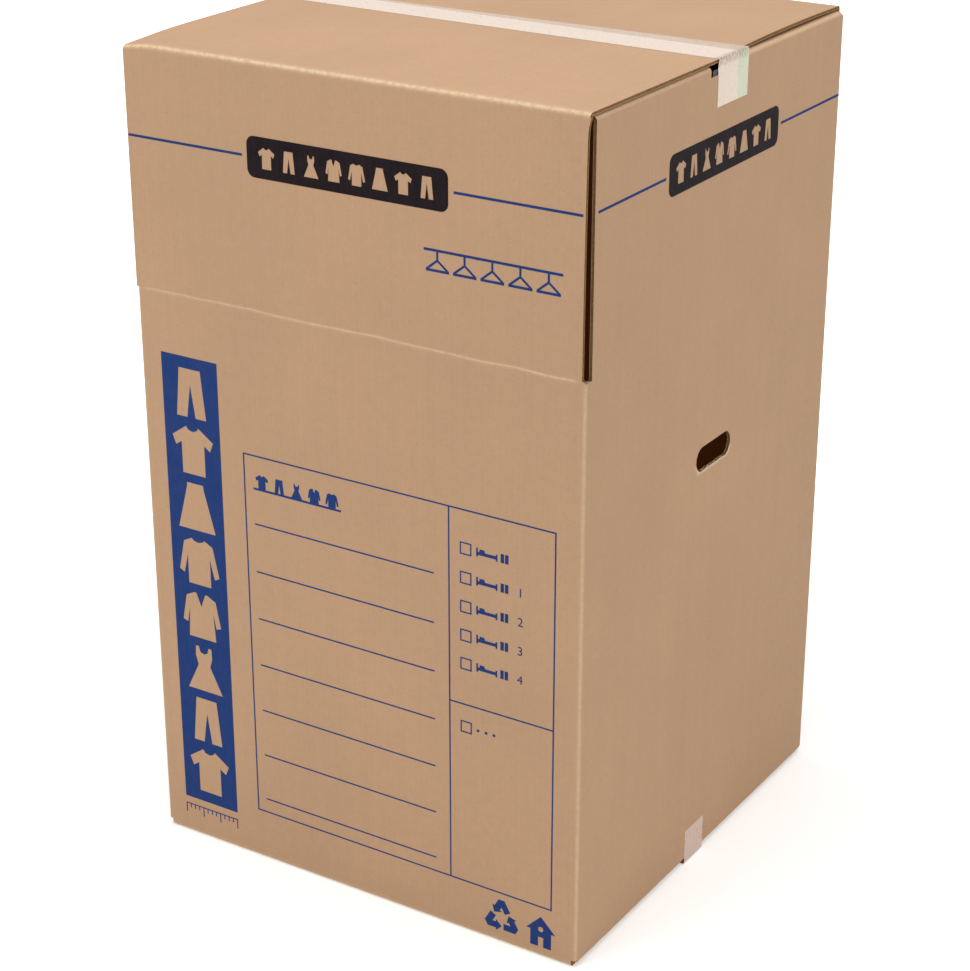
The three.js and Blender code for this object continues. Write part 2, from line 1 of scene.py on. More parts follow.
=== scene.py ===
# Wardrobe moving box: a tall corrugated carton, folded and glued from one blank and
# taped shut over a steel hanger bar. Metres, +Z up, front towards -Y.
import math
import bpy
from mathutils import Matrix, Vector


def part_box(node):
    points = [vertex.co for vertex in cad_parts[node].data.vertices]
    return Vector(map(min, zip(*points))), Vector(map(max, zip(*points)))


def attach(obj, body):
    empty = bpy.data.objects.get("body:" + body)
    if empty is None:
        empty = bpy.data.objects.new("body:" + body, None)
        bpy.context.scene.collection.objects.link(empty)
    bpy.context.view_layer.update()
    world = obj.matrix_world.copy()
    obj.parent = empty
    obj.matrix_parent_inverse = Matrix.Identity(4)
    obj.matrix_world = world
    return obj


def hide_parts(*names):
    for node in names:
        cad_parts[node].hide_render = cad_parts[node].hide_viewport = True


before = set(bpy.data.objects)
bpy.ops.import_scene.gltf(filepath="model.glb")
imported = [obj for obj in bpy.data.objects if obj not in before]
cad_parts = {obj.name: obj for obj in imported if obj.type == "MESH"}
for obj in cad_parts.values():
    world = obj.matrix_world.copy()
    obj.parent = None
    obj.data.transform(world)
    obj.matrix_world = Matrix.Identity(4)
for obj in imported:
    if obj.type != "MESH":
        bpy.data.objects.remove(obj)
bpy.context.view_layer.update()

from types import SimpleNamespace

import bpy
import numpy as np
from bpy.props import FloatProperty, FloatVectorProperty, PointerProperty
from mathutils import Matrix, Vector, noise

bl_info = {
    "name": "Wardrobe moving box",
    "version": (1, 0, 0),
    "blender": (4, 5, 0),
    "location": "3D View > Sidebar > Wardrobe Box",
    "description": "Dresses a corrugated wardrobe carton in board, print, tape and steel",
    "category": "Object",
}

MM = 0.001
BODY = "root"

# Vertices of two patches of board closer than this are one
WELD = 0.01 * MM

# The walls in the order of the blank, each with the way it faces and the way the
# blank runs along it. The left wall ends in the tab glued inside the back wall.
WALLS = {
    "back": ((0, 1, 0), (1, 0, 0)),
    "right": ((1, 0, 0), (0, -1, 0)),
    "front": ((0, -1, 0), (-1, 0, 0)),
    "left": ((-1, 0, 0), (0, 1, 0)),
    "tab": ((0, 1, 0), (1, 0, 0)),
}
UP = Vector((0, 0, 1))

BLUE_PRINT = [
    "front_stripe_left", "front_stripe_right", "right_stripe", "corner_stripe",
    "back_stripe", "left_stripe_back", "left_stripe_front", "drop_panel_mark",
    "front_band", "size_scale", "form_frame", "form_heading",
]
BLUE_PRINT += [f"form_line_{number}" for number in range(1, 8)]
BLUE_PRINT += [f"check_box_{number}" for number in range(1, 7)]
DARK_PRINT = ["front_plaque", "right_plaque", "back_plaque", "left_plaque"]


# Colours and settings

def linear(code):
    """Turns an sRGB hex colour into the linear values that a shader takes."""
    channels = [int(code[start:start + 2], 16) / 255 for start in (1, 3, 5)]
    return [c / 12.92 if c <= 0.04045 else ((c + 0.055) / 1.055) ** 2.4 for c in channels]


def size(name, description, value):
    """A length, given in millimetres."""
    return FloatProperty(name=name, description=description, default=value * MM, unit="LENGTH")


def tint(name, description, code):
    """A colour, given as an sRGB hex code."""
    return FloatVectorProperty(
        name=name, description=description, default=linear(code), subtype="COLOR", min=0, max=1,
    )


def portion(name, description, value):
    """A share between none and all."""
    return FloatProperty(
        name=name, description=description, default=value, min=0, max=1, subtype="FACTOR",
    )


def power(name, description, value):
    """The power of a lamp in watts."""
    return FloatProperty(name=name, description=description, default=value, unit="POWER")


class BoardSettings(bpy.types.PropertyGroup):
    """Sizes of the folded board and colours of its paper"""
    thickness: size("Board", "Thickness of the board over both liners", 4)
    liner: size("Liner", "Thickness of one liner at a cut edge", 0.45)
    recess: size("Recess", "How far the fluted middle lies behind a cut edge", 0.7)
    fold_radius: size("Fold radius", "Outer radius of every fold", 5)
    top_layer_gap: size("Top layer gap", "Space between the inner and outer top flaps", 2)
    bottom_layer_gap: size("Bottom layer gap", "Space between the bottom flaps", 0.5)
    seam_gap: size("Seam gap", "Space between two flaps that meet", 1.5)
    corner_slot: size("Corner slot", "How much a flap is cut back at each corner", 7)
    outer_inset: size("Outer flap inset", "How much the front top flap is cut back", 1)
    tab_width: size("Glue tab", "Width of the tab inside the back wall", 35)
    tab_gap: size("Glue line", "Thickness of the glue under the tab", 0.2)
    drop_height: size("Drop panel", "From the drop panel's crease to the top", 294)
    drop_slot: size("Drop slot", "Width of the slot behind each front corner", 9)
    crease_depth: size("Crease depth", "Depth of the drop panel's crease", 1.4)
    hole_width: size("Hand hole width", "Width of each hand hole", 88)
    hole_height: size("Hand hole height", "Height of each hand hole", 31)
    hole_below_top: size("Hand hole place", "From the top to the middle of a hand hole", 478)
    hole_tear: size("Hand hole tear", "How far the lower edge of a hand hole is torn", 1.6)
    notch_width: size("Notch width", "Width of the notch for the hanger bar", 86)
    notch_depth: size("Notch depth", "Depth of the notch below the inner flaps", 12)
    notch_into_flap: size("Notch in flap", "How far the notch runs into the flap", 14)
    flute_pitch: size("Flute pitch", "From one flute to the next", 7.9)
    flute_paper: size("Flute paper", "Thickness of the fluted paper", 0.3)
    flute_reach: size("Flute reach", "Length of flute that shows at a cut", 1.4)
    crinkle: size("Crinkle", "How deep the top and bottom folds are crushed", 0.35)
    corner_crinkle: size("Corner crinkle", "How deep the upright folds are crushed", 0.12)
    droop: size("Droop", "How far the front left corner of the top hangs down", 4)
    gape: size("Gape", "How far the back top flap stands off beside the tape", 1.8)
    panel_bow: size("Panel bow", "How far the drop panel's right edge gives way", 5.5)
    kraft: tint("Kraft", "Outer liner", "#BC9776")
    # A darker copy of the kraft for the inner liner: painted shade, as the inside is out of the light
    shaded_inner_kraft: tint("Inner kraft", "Inner liner, out of the light", "#A98563")
    # A glow of the inner liner: painted light, standing in for daylight through the walls
    painted_inner_glow: tint("Soaked light", "Light that comes through the walls", "#1E0E03")
    # Lighter colour along the folds: partly the stretched liner, partly a painted highlight
    fold_stretch_and_highlight: tint("Fold", "Liner stretched over a fold", "#E9CCA8")
    cut_liner: tint("Cut liner", "Cut edge of a liner", "#D6B78F")
    medium: tint("Medium", "Fluted paper in the middle of the board", "#8C6A46")


class TapeSettings(bpy.types.PropertyGroup):
    """Sizes and colours of the strips of tape"""
    width: size("Tape width", "Width of one strip", 48)
    film: size("Film", "Thickness of the film and its glue", 0.12)
    layer: size("Layer", "Height of one strip over the next", 0.2)
    bend: size("Bend", "Radius where a strip turns over an edge", 1.4)
    top_tail: size("Top tail", "Length of a strip's tail down the side wall", 55)
    bottom_tail: size("Bottom tail", "Length of the lower strip's tail up the side wall", 48)
    rim_highlight: size("Rim", "Width of the bright line along each side of a strip", 1.2)
    sag: size("Sag", "How far a strip gives way over the notch", 0.7)
    cream: tint("Cream film", "Upper strip", "#EBD8C5")
    # A darker copy of the cream film for where it lies on the top: painted shade against the brighter
    # light there
    shaded_flat_cream: tint("Flat cream film", "Upper strip where it lies on the top", "#E1CDBA")
    pale_green: tint("Pale green film", "Tails of the lower strip", "#D6D7BC")
    rosy: tint("Rosy film", "Bottom strip", "#D8BBAC")
    cover: portion("Cover", "How much of the board the film hides", 0.96)
    thin_cover: portion("Thin cover", "How much a single film laid flat hides", 0.5)
    bridge_cover: portion("Bridge cover", "How much the film hides over the notch", 0.32)


class PrintSettings(bpy.types.PropertyGroup):
    """Inks and sizes of the printed signs"""
    ink: size("Ink", "Height of a printed sign on the board", 0.2)
    blue: tint("Blue", "Blue ink", "#1D3A74")
    dark: tint("Dark", "Dark ink", "#120A12")
    label_height: size("Label height", "Height of the signs beside the check boxes", 11)
    label_gap: size("Label gap", "From a check box to its sign", 6.5)
    arrows_across: size("Arrows", "Size of the three chasing arrows", 47)
    house_width: size("House width", "Width of the house sign", 40)
    house_height: size("House height", "Height of the house sign", 42)


class StageSettings(bpy.types.PropertyGroup):
    """Floor, camera and lights"""
    floor: tint("Floor", "Floor under the box", "#F4F4F2")
    azimuth: FloatProperty(
        name="Azimuth", description="Direction of view round the box", unit="ROTATION",
        default=math.radians(32.34),
    )
    elevation: FloatProperty(
        name="Elevation", description="Height of the view", unit="ROTATION",
        default=math.radians(23.25),
    )
    lens: FloatProperty(
        name="Lens", description="Focal length of the camera", subtype="DISTANCE_CAMERA",
        default=88.05,
    )
    camera_place: FloatVectorProperty(
        name="Camera", description="Place of the camera", unit="LENGTH",
        default=(1.479, -2.358, 1.637),
    )
    key_power: power("Key", "Power of the front light", 55)
    top_power: power("Top", "Power of the light above", 58)
    fill_power: power("Fill", "Power of the side light", 25)
    world_light: portion("World", "Strength of the light all round", 0.5)
    floor_glow: portion("Floor glow", "White added near the box", 0.36)


class BoxSettings(bpy.types.PropertyGroup):
    """All settings of the wardrobe box"""
    board: PointerProperty(type=BoardSettings)
    tape: PointerProperty(type=TapeSettings)
    print: PointerProperty(type=PrintSettings)
    stage: PointerProperty(type=StageSettings)


# Materials

# The kinds of node that the materials use most
MATH = "ShaderNodeMath"
RANGE = "ShaderNodeMapRange"


def feed(tree, node, inputs):
    """Sets a node's inputs, or links them to a socket or to another node's first output."""
    for key, value in inputs.items():
        if isinstance(value, bpy.types.Node):
            value = value.outputs[0]
        if isinstance(value, bpy.types.NodeSocket):
            tree.links.new(value, node.inputs[key])
        else:
            node.inputs[key].default_value = value


def add_node(tree, kind, inputs=None, **settings):
    """Adds one node with its settings, inputs and links."""
    node = tree.nodes.new(kind)
    for name, value in settings.items():
        setattr(node, name, value)
    feed(tree, node, inputs or {})
    return node


def new_material(name):
    """Returns a material, its node tree and its shader."""
    material = bpy.data.materials.new(name)
    material.use_nodes = True
    tree = material.node_tree
    return material, tree, tree.nodes["Principled BSDF"]


def rgba(colour, gain=1):
    """A colour that a node takes, lighter or darker by a gain and never above white."""
    return (*(min(1, channel * gain) for channel in colour), 1)


def stretched_noise(tree, vector, scale, per_metre, detail, roughness):
    """Noise that is stretched by the scale of each axis, with cells per metre."""
    mapping = add_node(tree, "ShaderNodeMapping", {"Vector": vector, "Scale": scale})
    inputs = {"Vector": mapping, "Scale": per_metre, "Detail": detail, "Roughness": roughness}
    return add_node(tree, "ShaderNodeTexNoise", inputs).outputs["Fac"]


def flute_ripple(tree, across, board):
    """A wave from -1 to 1 over the flutes, from the place across them."""
    turn = add_node(tree, MATH, {0: across, 1: 2 * math.pi / board.flute_pitch}, operation="MULTIPLY")
    return add_node(tree, MATH, {0: turn}, operation="SINE")


def lay_over(tree, tone, layers):
    """Lays colours over a tone, each as much as its factor says and blended its own way."""
    for factor, colour, way in layers:
        inputs = {0: factor, 6: tone, 7: colour}
        tone = add_node(tree, "ShaderNodeMix", inputs, data_type="RGBA", blend_type=way).outputs[2]
    return tone


def relief(tree, layers):
    """Unevenness in several layers, each with its height and how deep it is in metres."""
    below = {}
    for height, depth in layers:
        inputs = {"Height": height, "Distance": depth, "Strength": 1, **below}
        below = {"Normal": add_node(tree, "ShaderNodeBump", inputs)}
    return below["Normal"]


def kraft_liner(name, board, colour):
    """Unbleached kraft liner, glued to flutes: matt, with cloudy formation, short fibres
    along the machine direction, and the flutes showing through as faint ridges."""
    material, tree, shader = new_material(name)
    place = add_node(tree, "ShaderNodeTexCoord").outputs["Object"]
    blank = add_node(tree, "ShaderNodeUVMap", uv_map="blank")
    ripple = flute_ripple(tree, add_node(tree, "ShaderNodeSeparateXYZ", {0: blank}), board)

    # Clouds about 200 mm and 12 mm wide, as the pulp settled on the wire
    clouds = stretched_noise(tree, place, (1, 1, 1), 5, 3, 0.5)
    formation = stretched_noise(tree, blank, (1, 1, 1), 85, 5, 0.6)
    # Fibres about 4 mm long and 0.8 mm wide, four times coarser than real to show
    fibres = stretched_noise(tree, blank, (1, 5, 1), 260, 2, 0.6)
    shives = stretched_noise(tree, blank, (1, 4, 1), 150, 1, 0.5)
    # Upright streaks about two flutes wide
    streaks = stretched_noise(tree, blank, (1, 0.02, 1), 60, 2, 0.6)

    # The share of lightness that each of them adds or takes; the flute ripple's part is a painted
    # shade of the flutes' ridges
    level = add_node(tree, MATH, {0: ripple, 1: 0.006, 2: 1}, operation="MULTIPLY_ADD")
    for grain, share in ((formation, 0.035), (fibres, 0.04), (streaks, 0.012)):
        change = add_node(tree, RANGE, {0: grain, 1: 0.3, 2: 0.7, 3: -share, 4: share})
        level = add_node(tree, MATH, {0: level, 1: change}, operation="ADD")
    grey = add_node(tree, "ShaderNodeCombineXYZ", {0: level, 1: level, 2: level}).outputs[0]
    cloudy = add_node(tree, RANGE, {0: clouds, 1: 0.3, 2: 0.7, 3: 0, 4: 1})
    flecks = add_node(tree, RANGE, {0: shives, 1: 0.66, 2: 0.74, 3: 0, 4: 0.35})

    # Folds are lighter in patches about 6 mm wide: partly the stretched, worn liner and partly a
    # painted highlight where the rounded fold faces the light
    fold = add_node(tree, "ShaderNodeAttribute", attribute_name="fold").outputs["Fac"]
    upright = add_node(tree, "ShaderNodeAttribute", attribute_name="upright_fold").outputs["Fac"]
    patches = stretched_noise(tree, place, (1, 1, 1), 170, 3, 0.6)
    ragged = add_node(tree, RANGE, {0: patches, 1: 0.35, 2: 0.55, 3: 0.45, 4: 1})
    ragged = add_node(tree, MATH, {0: fold, 1: ragged}, operation="MULTIPLY")
    smooth = add_node(tree, RANGE, {0: patches, 1: 0.3, 2: 0.7, 3: 0.45, 4: 0.8})
    smooth = add_node(tree, MATH, {0: upright, 1: smooth}, operation="MULTIPLY")
    wear_and_highlight = add_node(tree, MATH, {0: ragged, 1: smooth}, operation="MAXIMUM")
    wear_and_highlight = add_node(tree, MATH, {0: wear_and_highlight, 1: 0.75}, operation="MULTIPLY")
    crushed = add_node(tree, MATH, {0: patches, 1: fold}, operation="MULTIPLY")

    feed(tree, shader, {
        "Base Color": lay_over(tree, rgba(colour, 0.96), [
            (cloudy, rgba(colour, 1.04), "MIX"), (1, grey, "MULTIPLY"),
            (flecks, rgba(colour, 0.62), "MIX"), (wear_and_highlight, rgba(board.fold_stretch_and_highlight), "MIX"),
        ]),
        "Roughness": add_node(tree, RANGE, {0: formation, 1: 0.3, 2: 0.7, 3: 0.68, 4: 0.82}),
        "Specular IOR Level": 0.35,
        "Normal": relief(tree, [
            (ripple, 0.03 * MM), (streaks, 0.15 * MM), (formation, 0.12 * MM),
            (crushed, 0.3 * MM), (fibres, 0.06 * MM),
        ]),
    })
    return material


def cut_paper(name, colour, contrast):
    """Edge of cut board: torn fibres, rougher and more uneven than the liner's face."""
    material, tree, shader = new_material(name)
    place = add_node(tree, "ShaderNodeTexCoord").outputs["Object"]
    # Torn tufts about 3 mm and 1 mm wide
    tufts = stretched_noise(tree, place, (1, 1, 1), 330, 3, 0.65)
    nicks = stretched_noise(tree, place, (1, 1, 1), 1000, 2, 0.5)
    uneven = add_node(tree, RANGE, {0: tufts, 1: 0.35, 2: 0.65, 3: 0, 4: 1})
    feed(tree, shader, {
        "Base Color": lay_over(tree, rgba(colour, 1 - contrast), [
            (uneven, rgba(colour, 1 + contrast), "MIX"),
        ]),
        "Roughness": 0.92,
        "Specular IOR Level": 0.05,
        "Normal": relief(tree, [(nicks, 0.2 * MM)]),
    })
    return material


def flexo_ink(name, board, colour):
    """Water-based ink from a rubber plate: matt, thinner between the flutes, with
    bare fibres showing through it."""
    material, tree, shader = new_material(name)
    place = add_node(tree, "ShaderNodeTexCoord").outputs["Object"]
    x, y, _ = add_node(tree, "ShaderNodeSeparateXYZ", {0: place}).outputs
    # One wall has a single x or y, so their sum runs across the flutes on every wall
    across = add_node(tree, MATH, {0: x, 1: y}, operation="ADD")
    ripple = flute_ripple(tree, across, board)
    # Bare spots about 1.5 mm wide, and clouds of thinner ink about 15 mm wide
    bare = stretched_noise(tree, place, (1, 1, 2.5), 700, 3, 0.7)
    thin = stretched_noise(tree, place, (1, 1, 1), 70, 4, 0.6)
    faded = [0.98 * c + 0.02 * k for c, k in zip(colour, board.kraft)]
    fading = add_node(tree, RANGE, {0: thin, 1: 0.3, 2: 0.7, 3: 0, 4: 0.8})
    fading = add_node(tree, MATH, {0: ripple, 1: 0.1, 2: fading}, operation="MULTIPLY_ADD")
    holes = add_node(tree, RANGE, {0: bare, 1: 0.66, 2: 0.76, 3: 0, 4: 0.25})
    feed(tree, shader, {
        "Base Color": lay_over(tree, rgba(colour), [
            (fading, rgba(faded), "MIX"), (holes, rgba(board.kraft), "MIX"),
        ]),
        "Roughness": 0.75,
        "Specular IOR Level": 0.1,
        "Normal": relief(tree, [(ripple, 0.03 * MM), (bare, 0.05 * MM)]),
    })
    return material


def packing_film(name, colour, tape, cover):
    """Polypropylene packing tape: glossy and milky, with glue streaks along its length
    and small blisters where it bridges the paper's grain. Clearer where nothing backs it."""
    material, tree, shader = new_material(name)
    strip = add_node(tree, "ShaderNodeUVMap", uv_map="strip")
    # Streaks about 7 mm wide and 480 mm long, blisters about 6 mm and wrinkles about
    # 2.5 mm wide
    streaks = stretched_noise(tree, strip, (0.015, 1, 1), 140, 1, 0.5)
    blisters = stretched_noise(tree, strip, (0.5, 1, 1), 160, 1, 0.5)
    wrinkles = stretched_noise(tree, strip, (0.5, 1, 1), 420, 2, 0.6)
    streaked = add_node(tree, RANGE, {0: streaks, 1: 0.35, 2: 0.65, 3: 0, 4: 1})
    # A painted highlight along the slit sides of the strip, where they catch the light
    across = add_node(tree, "ShaderNodeSeparateXYZ", {0: strip}).outputs[1]
    beside = add_node(tree, MATH, {0: across}, operation="ABSOLUTE")
    half = tape.width / 2
    rim_highlight = add_node(tree, RANGE, {0: beside, 1: half - tape.rim_highlight, 2: half, 3: 0, 4: 0.7})
    # Over the notch nothing backs the film, so that it is clearer there
    bridge = add_node(tree, "ShaderNodeAttribute", attribute_name="bridge").outputs["Fac"]
    clear = add_node(tree, RANGE, {0: wrinkles, 1: 0.4, 2: 0.6, 3: 0.25, 4: 1})
    clear = add_node(tree, MATH, {0: bridge, 1: clear}, operation="MULTIPLY")
    feed(tree, shader, {
        "Base Color": lay_over(tree, rgba(colour, 0.975), [
            (streaked, rgba(colour, 1.02), "MIX"), (rim_highlight, rgba(colour, 1.25), "MIX"),
        ]),
        "Alpha": add_node(tree, RANGE, {0: clear, 1: 0, 2: 1, 3: cover, 4: tape.bridge_cover}),
        "Roughness": add_node(tree, RANGE, {0: blisters, 1: 0.35, 2: 0.65, 3: 0.27, 4: 0.36}),
        "IOR": 1.49,
        "Normal": relief(tree, [(blisters, 0.01 * MM)]),
    })
    return material


def galvanised_steel():
    """Hot-dipped zinc on rolled steel: grey metal with spangles of differing gloss, its grey darkened
    far below bright zinc as a painted shade of the bar in the notch.
    """
    material, tree, shader = new_material("galvanised_steel")
    place = add_node(tree, "ShaderNodeTexCoord").outputs["Object"]
    # Spangles about 12 mm wide, rolling lines about 0.5 mm apart along the bar
    cells = add_node(tree, "ShaderNodeTexVoronoi", {"Vector": place, "Scale": 85})
    spangle = add_node(tree, "ShaderNodeSeparateColor", {0: cells.outputs["Color"]})
    lines = stretched_noise(tree, place, (0.01, 1, 1), 2000, 2, 0.5)
    feed(tree, shader, {
        # Dark greys: painted shade of the bar where it lies in the notch
        "Base Color": lay_over(tree, rgba(linear("#2E2F31")), [
            (spangle, rgba(linear("#444547")), "MIX"),
        ]),
        "Metallic": 1,
        "Roughness": add_node(tree, RANGE, {0: spangle, 1: 0, 2: 1, 3: 0.4, 4: 0.6}),
        "Normal": relief(tree, [(lines, 0.02 * MM)]),
    })
    return material


# Board

class Sheet:
    """Outer face of the folded board, gathered patch by patch and welded where they meet."""

    def __init__(self):
        self.index = {}
        self.points = []
        self.normals = []
        self.blank = []
        self.folds = []
        self.upright_folds = []
        self.sways = []
        self.quads = []

    def vertex(self, point, normal, blank, fold=0.0, sway=0.0, upright=0.0):
        key = tuple(round(value / WELD) for value in point)
        if key not in self.index:
            self.index[key] = len(self.points)
            self.points.append(point)
            self.normals.append(normal)
            self.blank.append(blank)
            self.folds.append(fold)
            self.sways.append(sway)
            self.upright_folds.append(upright)
        return self.index[key]

    def quad(self, corners):
        first, second, third = (self.points[corner] for corner in corners[:3])
        facing = (second - first).cross(third - first)
        if facing.dot(self.normals[corners[0]]) < 0:
            corners = corners[::-1]
        self.quads.append(tuple(corners))

    def patch(self, columns, rows, place, keep):
        """Adds the cells between columns and rows that keep wants, each corner by place."""
        for left, right in zip(columns, columns[1:]):
            for low, high in zip(rows, rows[1:]):
                if keep(left, right, low, high):
                    corners = ((left, low), (right, low), (right, high), (left, high))
                    self.quad([self.vertex(*place(column, row)) for column, row in corners])


def spread(marks, step):
    """Sorted marks with even steps, no longer than step, between them."""
    marks = sorted(set(marks))
    lines = [marks[0]]
    for low, high in zip(marks, marks[1:]):
        count = max(1, math.ceil((high - low) / step))
        lines += [low + (high - low) * number / count for number in range(1, count + 1)]
    return lines


def box_levels(board):
    """Heights and half sizes of the carton, from the frame and the board."""
    low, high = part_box("carton")
    t = board.thickness
    level = SimpleNamespace()
    level.half_x = high.x
    level.half_y = high.y
    level.top_outer = high.z
    level.top_inner = high.z - t - board.top_layer_gap
    level.bottom_outer = low.z
    level.bottom_inner = low.z + t + board.bottom_layer_gap
    level.ring_top = level.top_inner - board.fold_radius
    level.ring_bottom = level.bottom_inner + board.fold_radius
    level.drop_score = high.z - board.drop_height
    level.drop_top = high.z - board.fold_radius
    level.notch_floor = level.top_inner - board.notch_depth
    level.hole_middle = high.z - board.hole_below_top
    level.side_front = high.y - t - board.drop_slot
    return level


def wall_frame(wall, level, board):
    """Where a wall stands: its outer face, the ways it faces and runs, and its flat part."""
    outward, travel = (Vector(way) for way in WALLS[wall])
    half = level.half_x if outward.x else level.half_y
    flat = (level.half_y if outward.x else level.half_x) - board.fold_radius
    start, end = -flat, flat
    if wall == "left":
        end = flat - board.thickness - board.tab_gap
    if wall == "tab":
        half -= board.thickness + board.tab_gap
        end = -flat + board.tab_width
    return SimpleNamespace(name=wall, outward=outward, travel=travel, half=half, start=start, end=end)


def bell(distance, width):
    """1 at no distance, falling smoothly to nothing past the width."""
    return math.exp(-(distance / width) ** 2)


# The mesh: steps along walls and flaps, and closer rows at folds and creases
ARC_STEPS = 8
FINE_STEP = 6 * MM
COARSE_STEP = 14 * MM
ROW_STEP = 60 * MM
FLAP_STEP = 28 * MM
FLAP_ROOT = 30 * MM
PANEL_ROW_STEP = 24 * MM
CREASE_ROWS = [distance * MM for distance in (0.8, 1.6, 2.6, 4, 7)]
TOP_FOLD_ROWS = [distance * MM for distance in (1.5, 3, 5, 8, 12)]

# The patch of mesh round a hand hole, and its rings from the patch's rim to the hole
HOLE_PATCH_HALF_WIDTH = 60 * MM
HOLE_PATCH_HALF_HEIGHT = 32 * MM
HOLE_PATCH_STEP = 8 * MM
HOLE_RINGS = (0, 0.25, 0.5, 0.75, 0.92, 1)

# The hole's lower edge: how much lighter it is, partly torn liner and partly a painted highlight, the
# ring where that starts, tears per metre
HOLE_EDGE_WEAR_AND_HIGHLIGHT = 1.2
HOLE_EDGE_LIGHT_START = 0.75
TEARS_PER_METRE = 160

# Width of the lighter line along a fold, partly stretched liner and partly a painted
# highlight, and how strong it is on a side flap's fold and on the smooth part of any flap's fold
UPRIGHT_FOLD_WIDTH = 2.4 * MM
FLAP_FOLD_WIDTH = 3 * MM
SIDE_FLAP_WEAR_AND_HIGHLIGHT = 0.45
FLAP_SMOOTH_WEAR_AND_HIGHLIGHT = 0.8

# The drop panel's right edge gives way within this span, at once above its crease and
# less towards the top
PANEL_BOW_SPAN = 18 * MM
BOW_START = 0.009
BOW_END = 0.05
BOW_LOSS = 0.45


def wall_columns(level, board):
    """Marks along each wall that its flaps, notch and hand hole need."""
    slotted = level.half_x - board.corner_slot
    side_back = level.half_y - board.corner_slot
    notch = board.notch_width / 2
    hole = HOLE_PATCH_HALF_WIDTH
    marks = {
        "back": [-slotted, slotted],
        "right": [-side_back, side_back, level.side_front, -notch, notch, -hole, hole],
        "front": [-slotted, slotted],
        "left": [-side_back, -level.side_front, -notch, notch, -hole, hole],
        "tab": [],
    }
    columns = {}
    for name, cuts in marks.items():
        wall = wall_frame(name, level, board)
        step = FINE_STEP if name in ("front", "right") else COARSE_STEP
        columns[name] = spread([wall.start, wall.end, *cuts], step)
    return columns


def ring_stations(level, board, columns):
    """Stations round the walls, each with its place, its facing and its place on the blank."""
    radius = board.fold_radius
    stations = []
    along = 0.0
    names = list(WALLS)
    starts = {}
    for number, name in enumerate(names):
        wall = wall_frame(name, level, board)
        starts[name] = along - wall.start
        for column in columns[name]:
            reach = min(column - wall.start, wall.end - column) + radius * math.pi / 4
            if name == "tab":
                reach = column - wall.start + radius * math.pi / 4
            stations.append(SimpleNamespace(
                wall=name, column=column, facing=wall.outward, along=along + column - wall.start,
                place=wall.outward * wall.half + wall.travel * column,
                fold=bell(reach, UPRIGHT_FOLD_WIDTH),
            ))
        along += wall.end - wall.start
        if number + 1 < len(names):
            centre = wall.outward * (wall.half - radius) + wall.travel * wall.end
            length = radius * math.pi / 2
            for step in range(1, ARC_STEPS):
                angle = math.pi / 2 * step / ARC_STEPS
                facing = wall.outward * math.cos(angle) + wall.travel * math.sin(angle)
                reach = abs(angle - math.pi / 4) * radius
                stations.append(SimpleNamespace(
                    wall=f"{name}_fold", column=None, facing=facing, along=along + angle * radius,
                    place=centre + facing * radius, fold=bell(reach, UPRIGHT_FOLD_WIDTH),
                ))
            along += length
    return stations, starts


def in_drop_area(station, level):
    """Whether a station lies where the drop panel is cut free of the walls."""
    if station.wall in ("front", "right_fold", "front_fold"):
        return True
    reach = level.side_front
    if station.wall == "right":
        return station.column >= reach - WELD
    return station.wall == "left" and station.column <= -reach + WELD


def add_walls(sheet, level, board, columns):
    """Adds the walls and the glued tab, and returns where each wall starts on the blank."""
    stations, starts = ring_stations(level, board, columns)
    hole = level.hole_middle
    hole_half = HOLE_PATCH_HALF_HEIGHT
    marks = [level.ring_bottom, hole - hole_half, level.drop_score, level.notch_floor, level.ring_top]
    rows = spread(marks, ROW_STEP)
    rows += spread([hole - hole_half, hole + hole_half], HOLE_PATCH_STEP)
    rows += [level.drop_score - distance for distance in CREASE_ROWS]
    rows = sorted({round(row, 6): row for row in rows}.values())

    def place(station, height):
        point = station.place + UP * height
        # The corner's fold weight lightens its line: partly worn liner, partly a painted highlight
        return (point, station.facing, (station.along, height), 0.0,
                station.fold * board.corner_crinkle, station.fold)

    def keep(left, right, low, high):
        both = (left, right)
        if low >= level.drop_score - WELD and all(in_drop_area(s, level) for s in both):
            return False
        if not all(s.wall in ("right", "left") for s in both):
            return True
        half = max(abs(s.column) for s in both)
        if half <= board.notch_width / 2 + WELD and low >= level.notch_floor - WELD:
            return False
        inside = low >= hole - hole_half - WELD and high <= hole + hole_half + WELD
        return not (inside and half <= HOLE_PATCH_HALF_WIDTH + WELD)

    sheet.patch(stations, rows, place, keep)
    for name in ("right", "left"):
        wall = wall_frame(name, level, board)
        add_hand_hole(sheet, wall, starts[name], level, board, columns[name], rows)
    return starts


def stadium(distance, reach, radius):
    """Point of a slot with round ends, some way clockwise from the middle of its top."""
    half_turn = math.pi * radius
    distance %= 4 * reach + 2 * half_turn
    if distance < reach:
        return distance, radius
    distance -= reach
    if distance < half_turn:
        return reach + radius * math.sin(distance / radius), radius * math.cos(distance / radius)
    distance -= half_turn
    if distance < 2 * reach:
        return reach - distance, -radius
    distance -= 2 * reach
    if distance < half_turn:
        return -reach - radius * math.sin(distance / radius), -radius * math.cos(distance / radius)
    return distance - half_turn - reach, radius


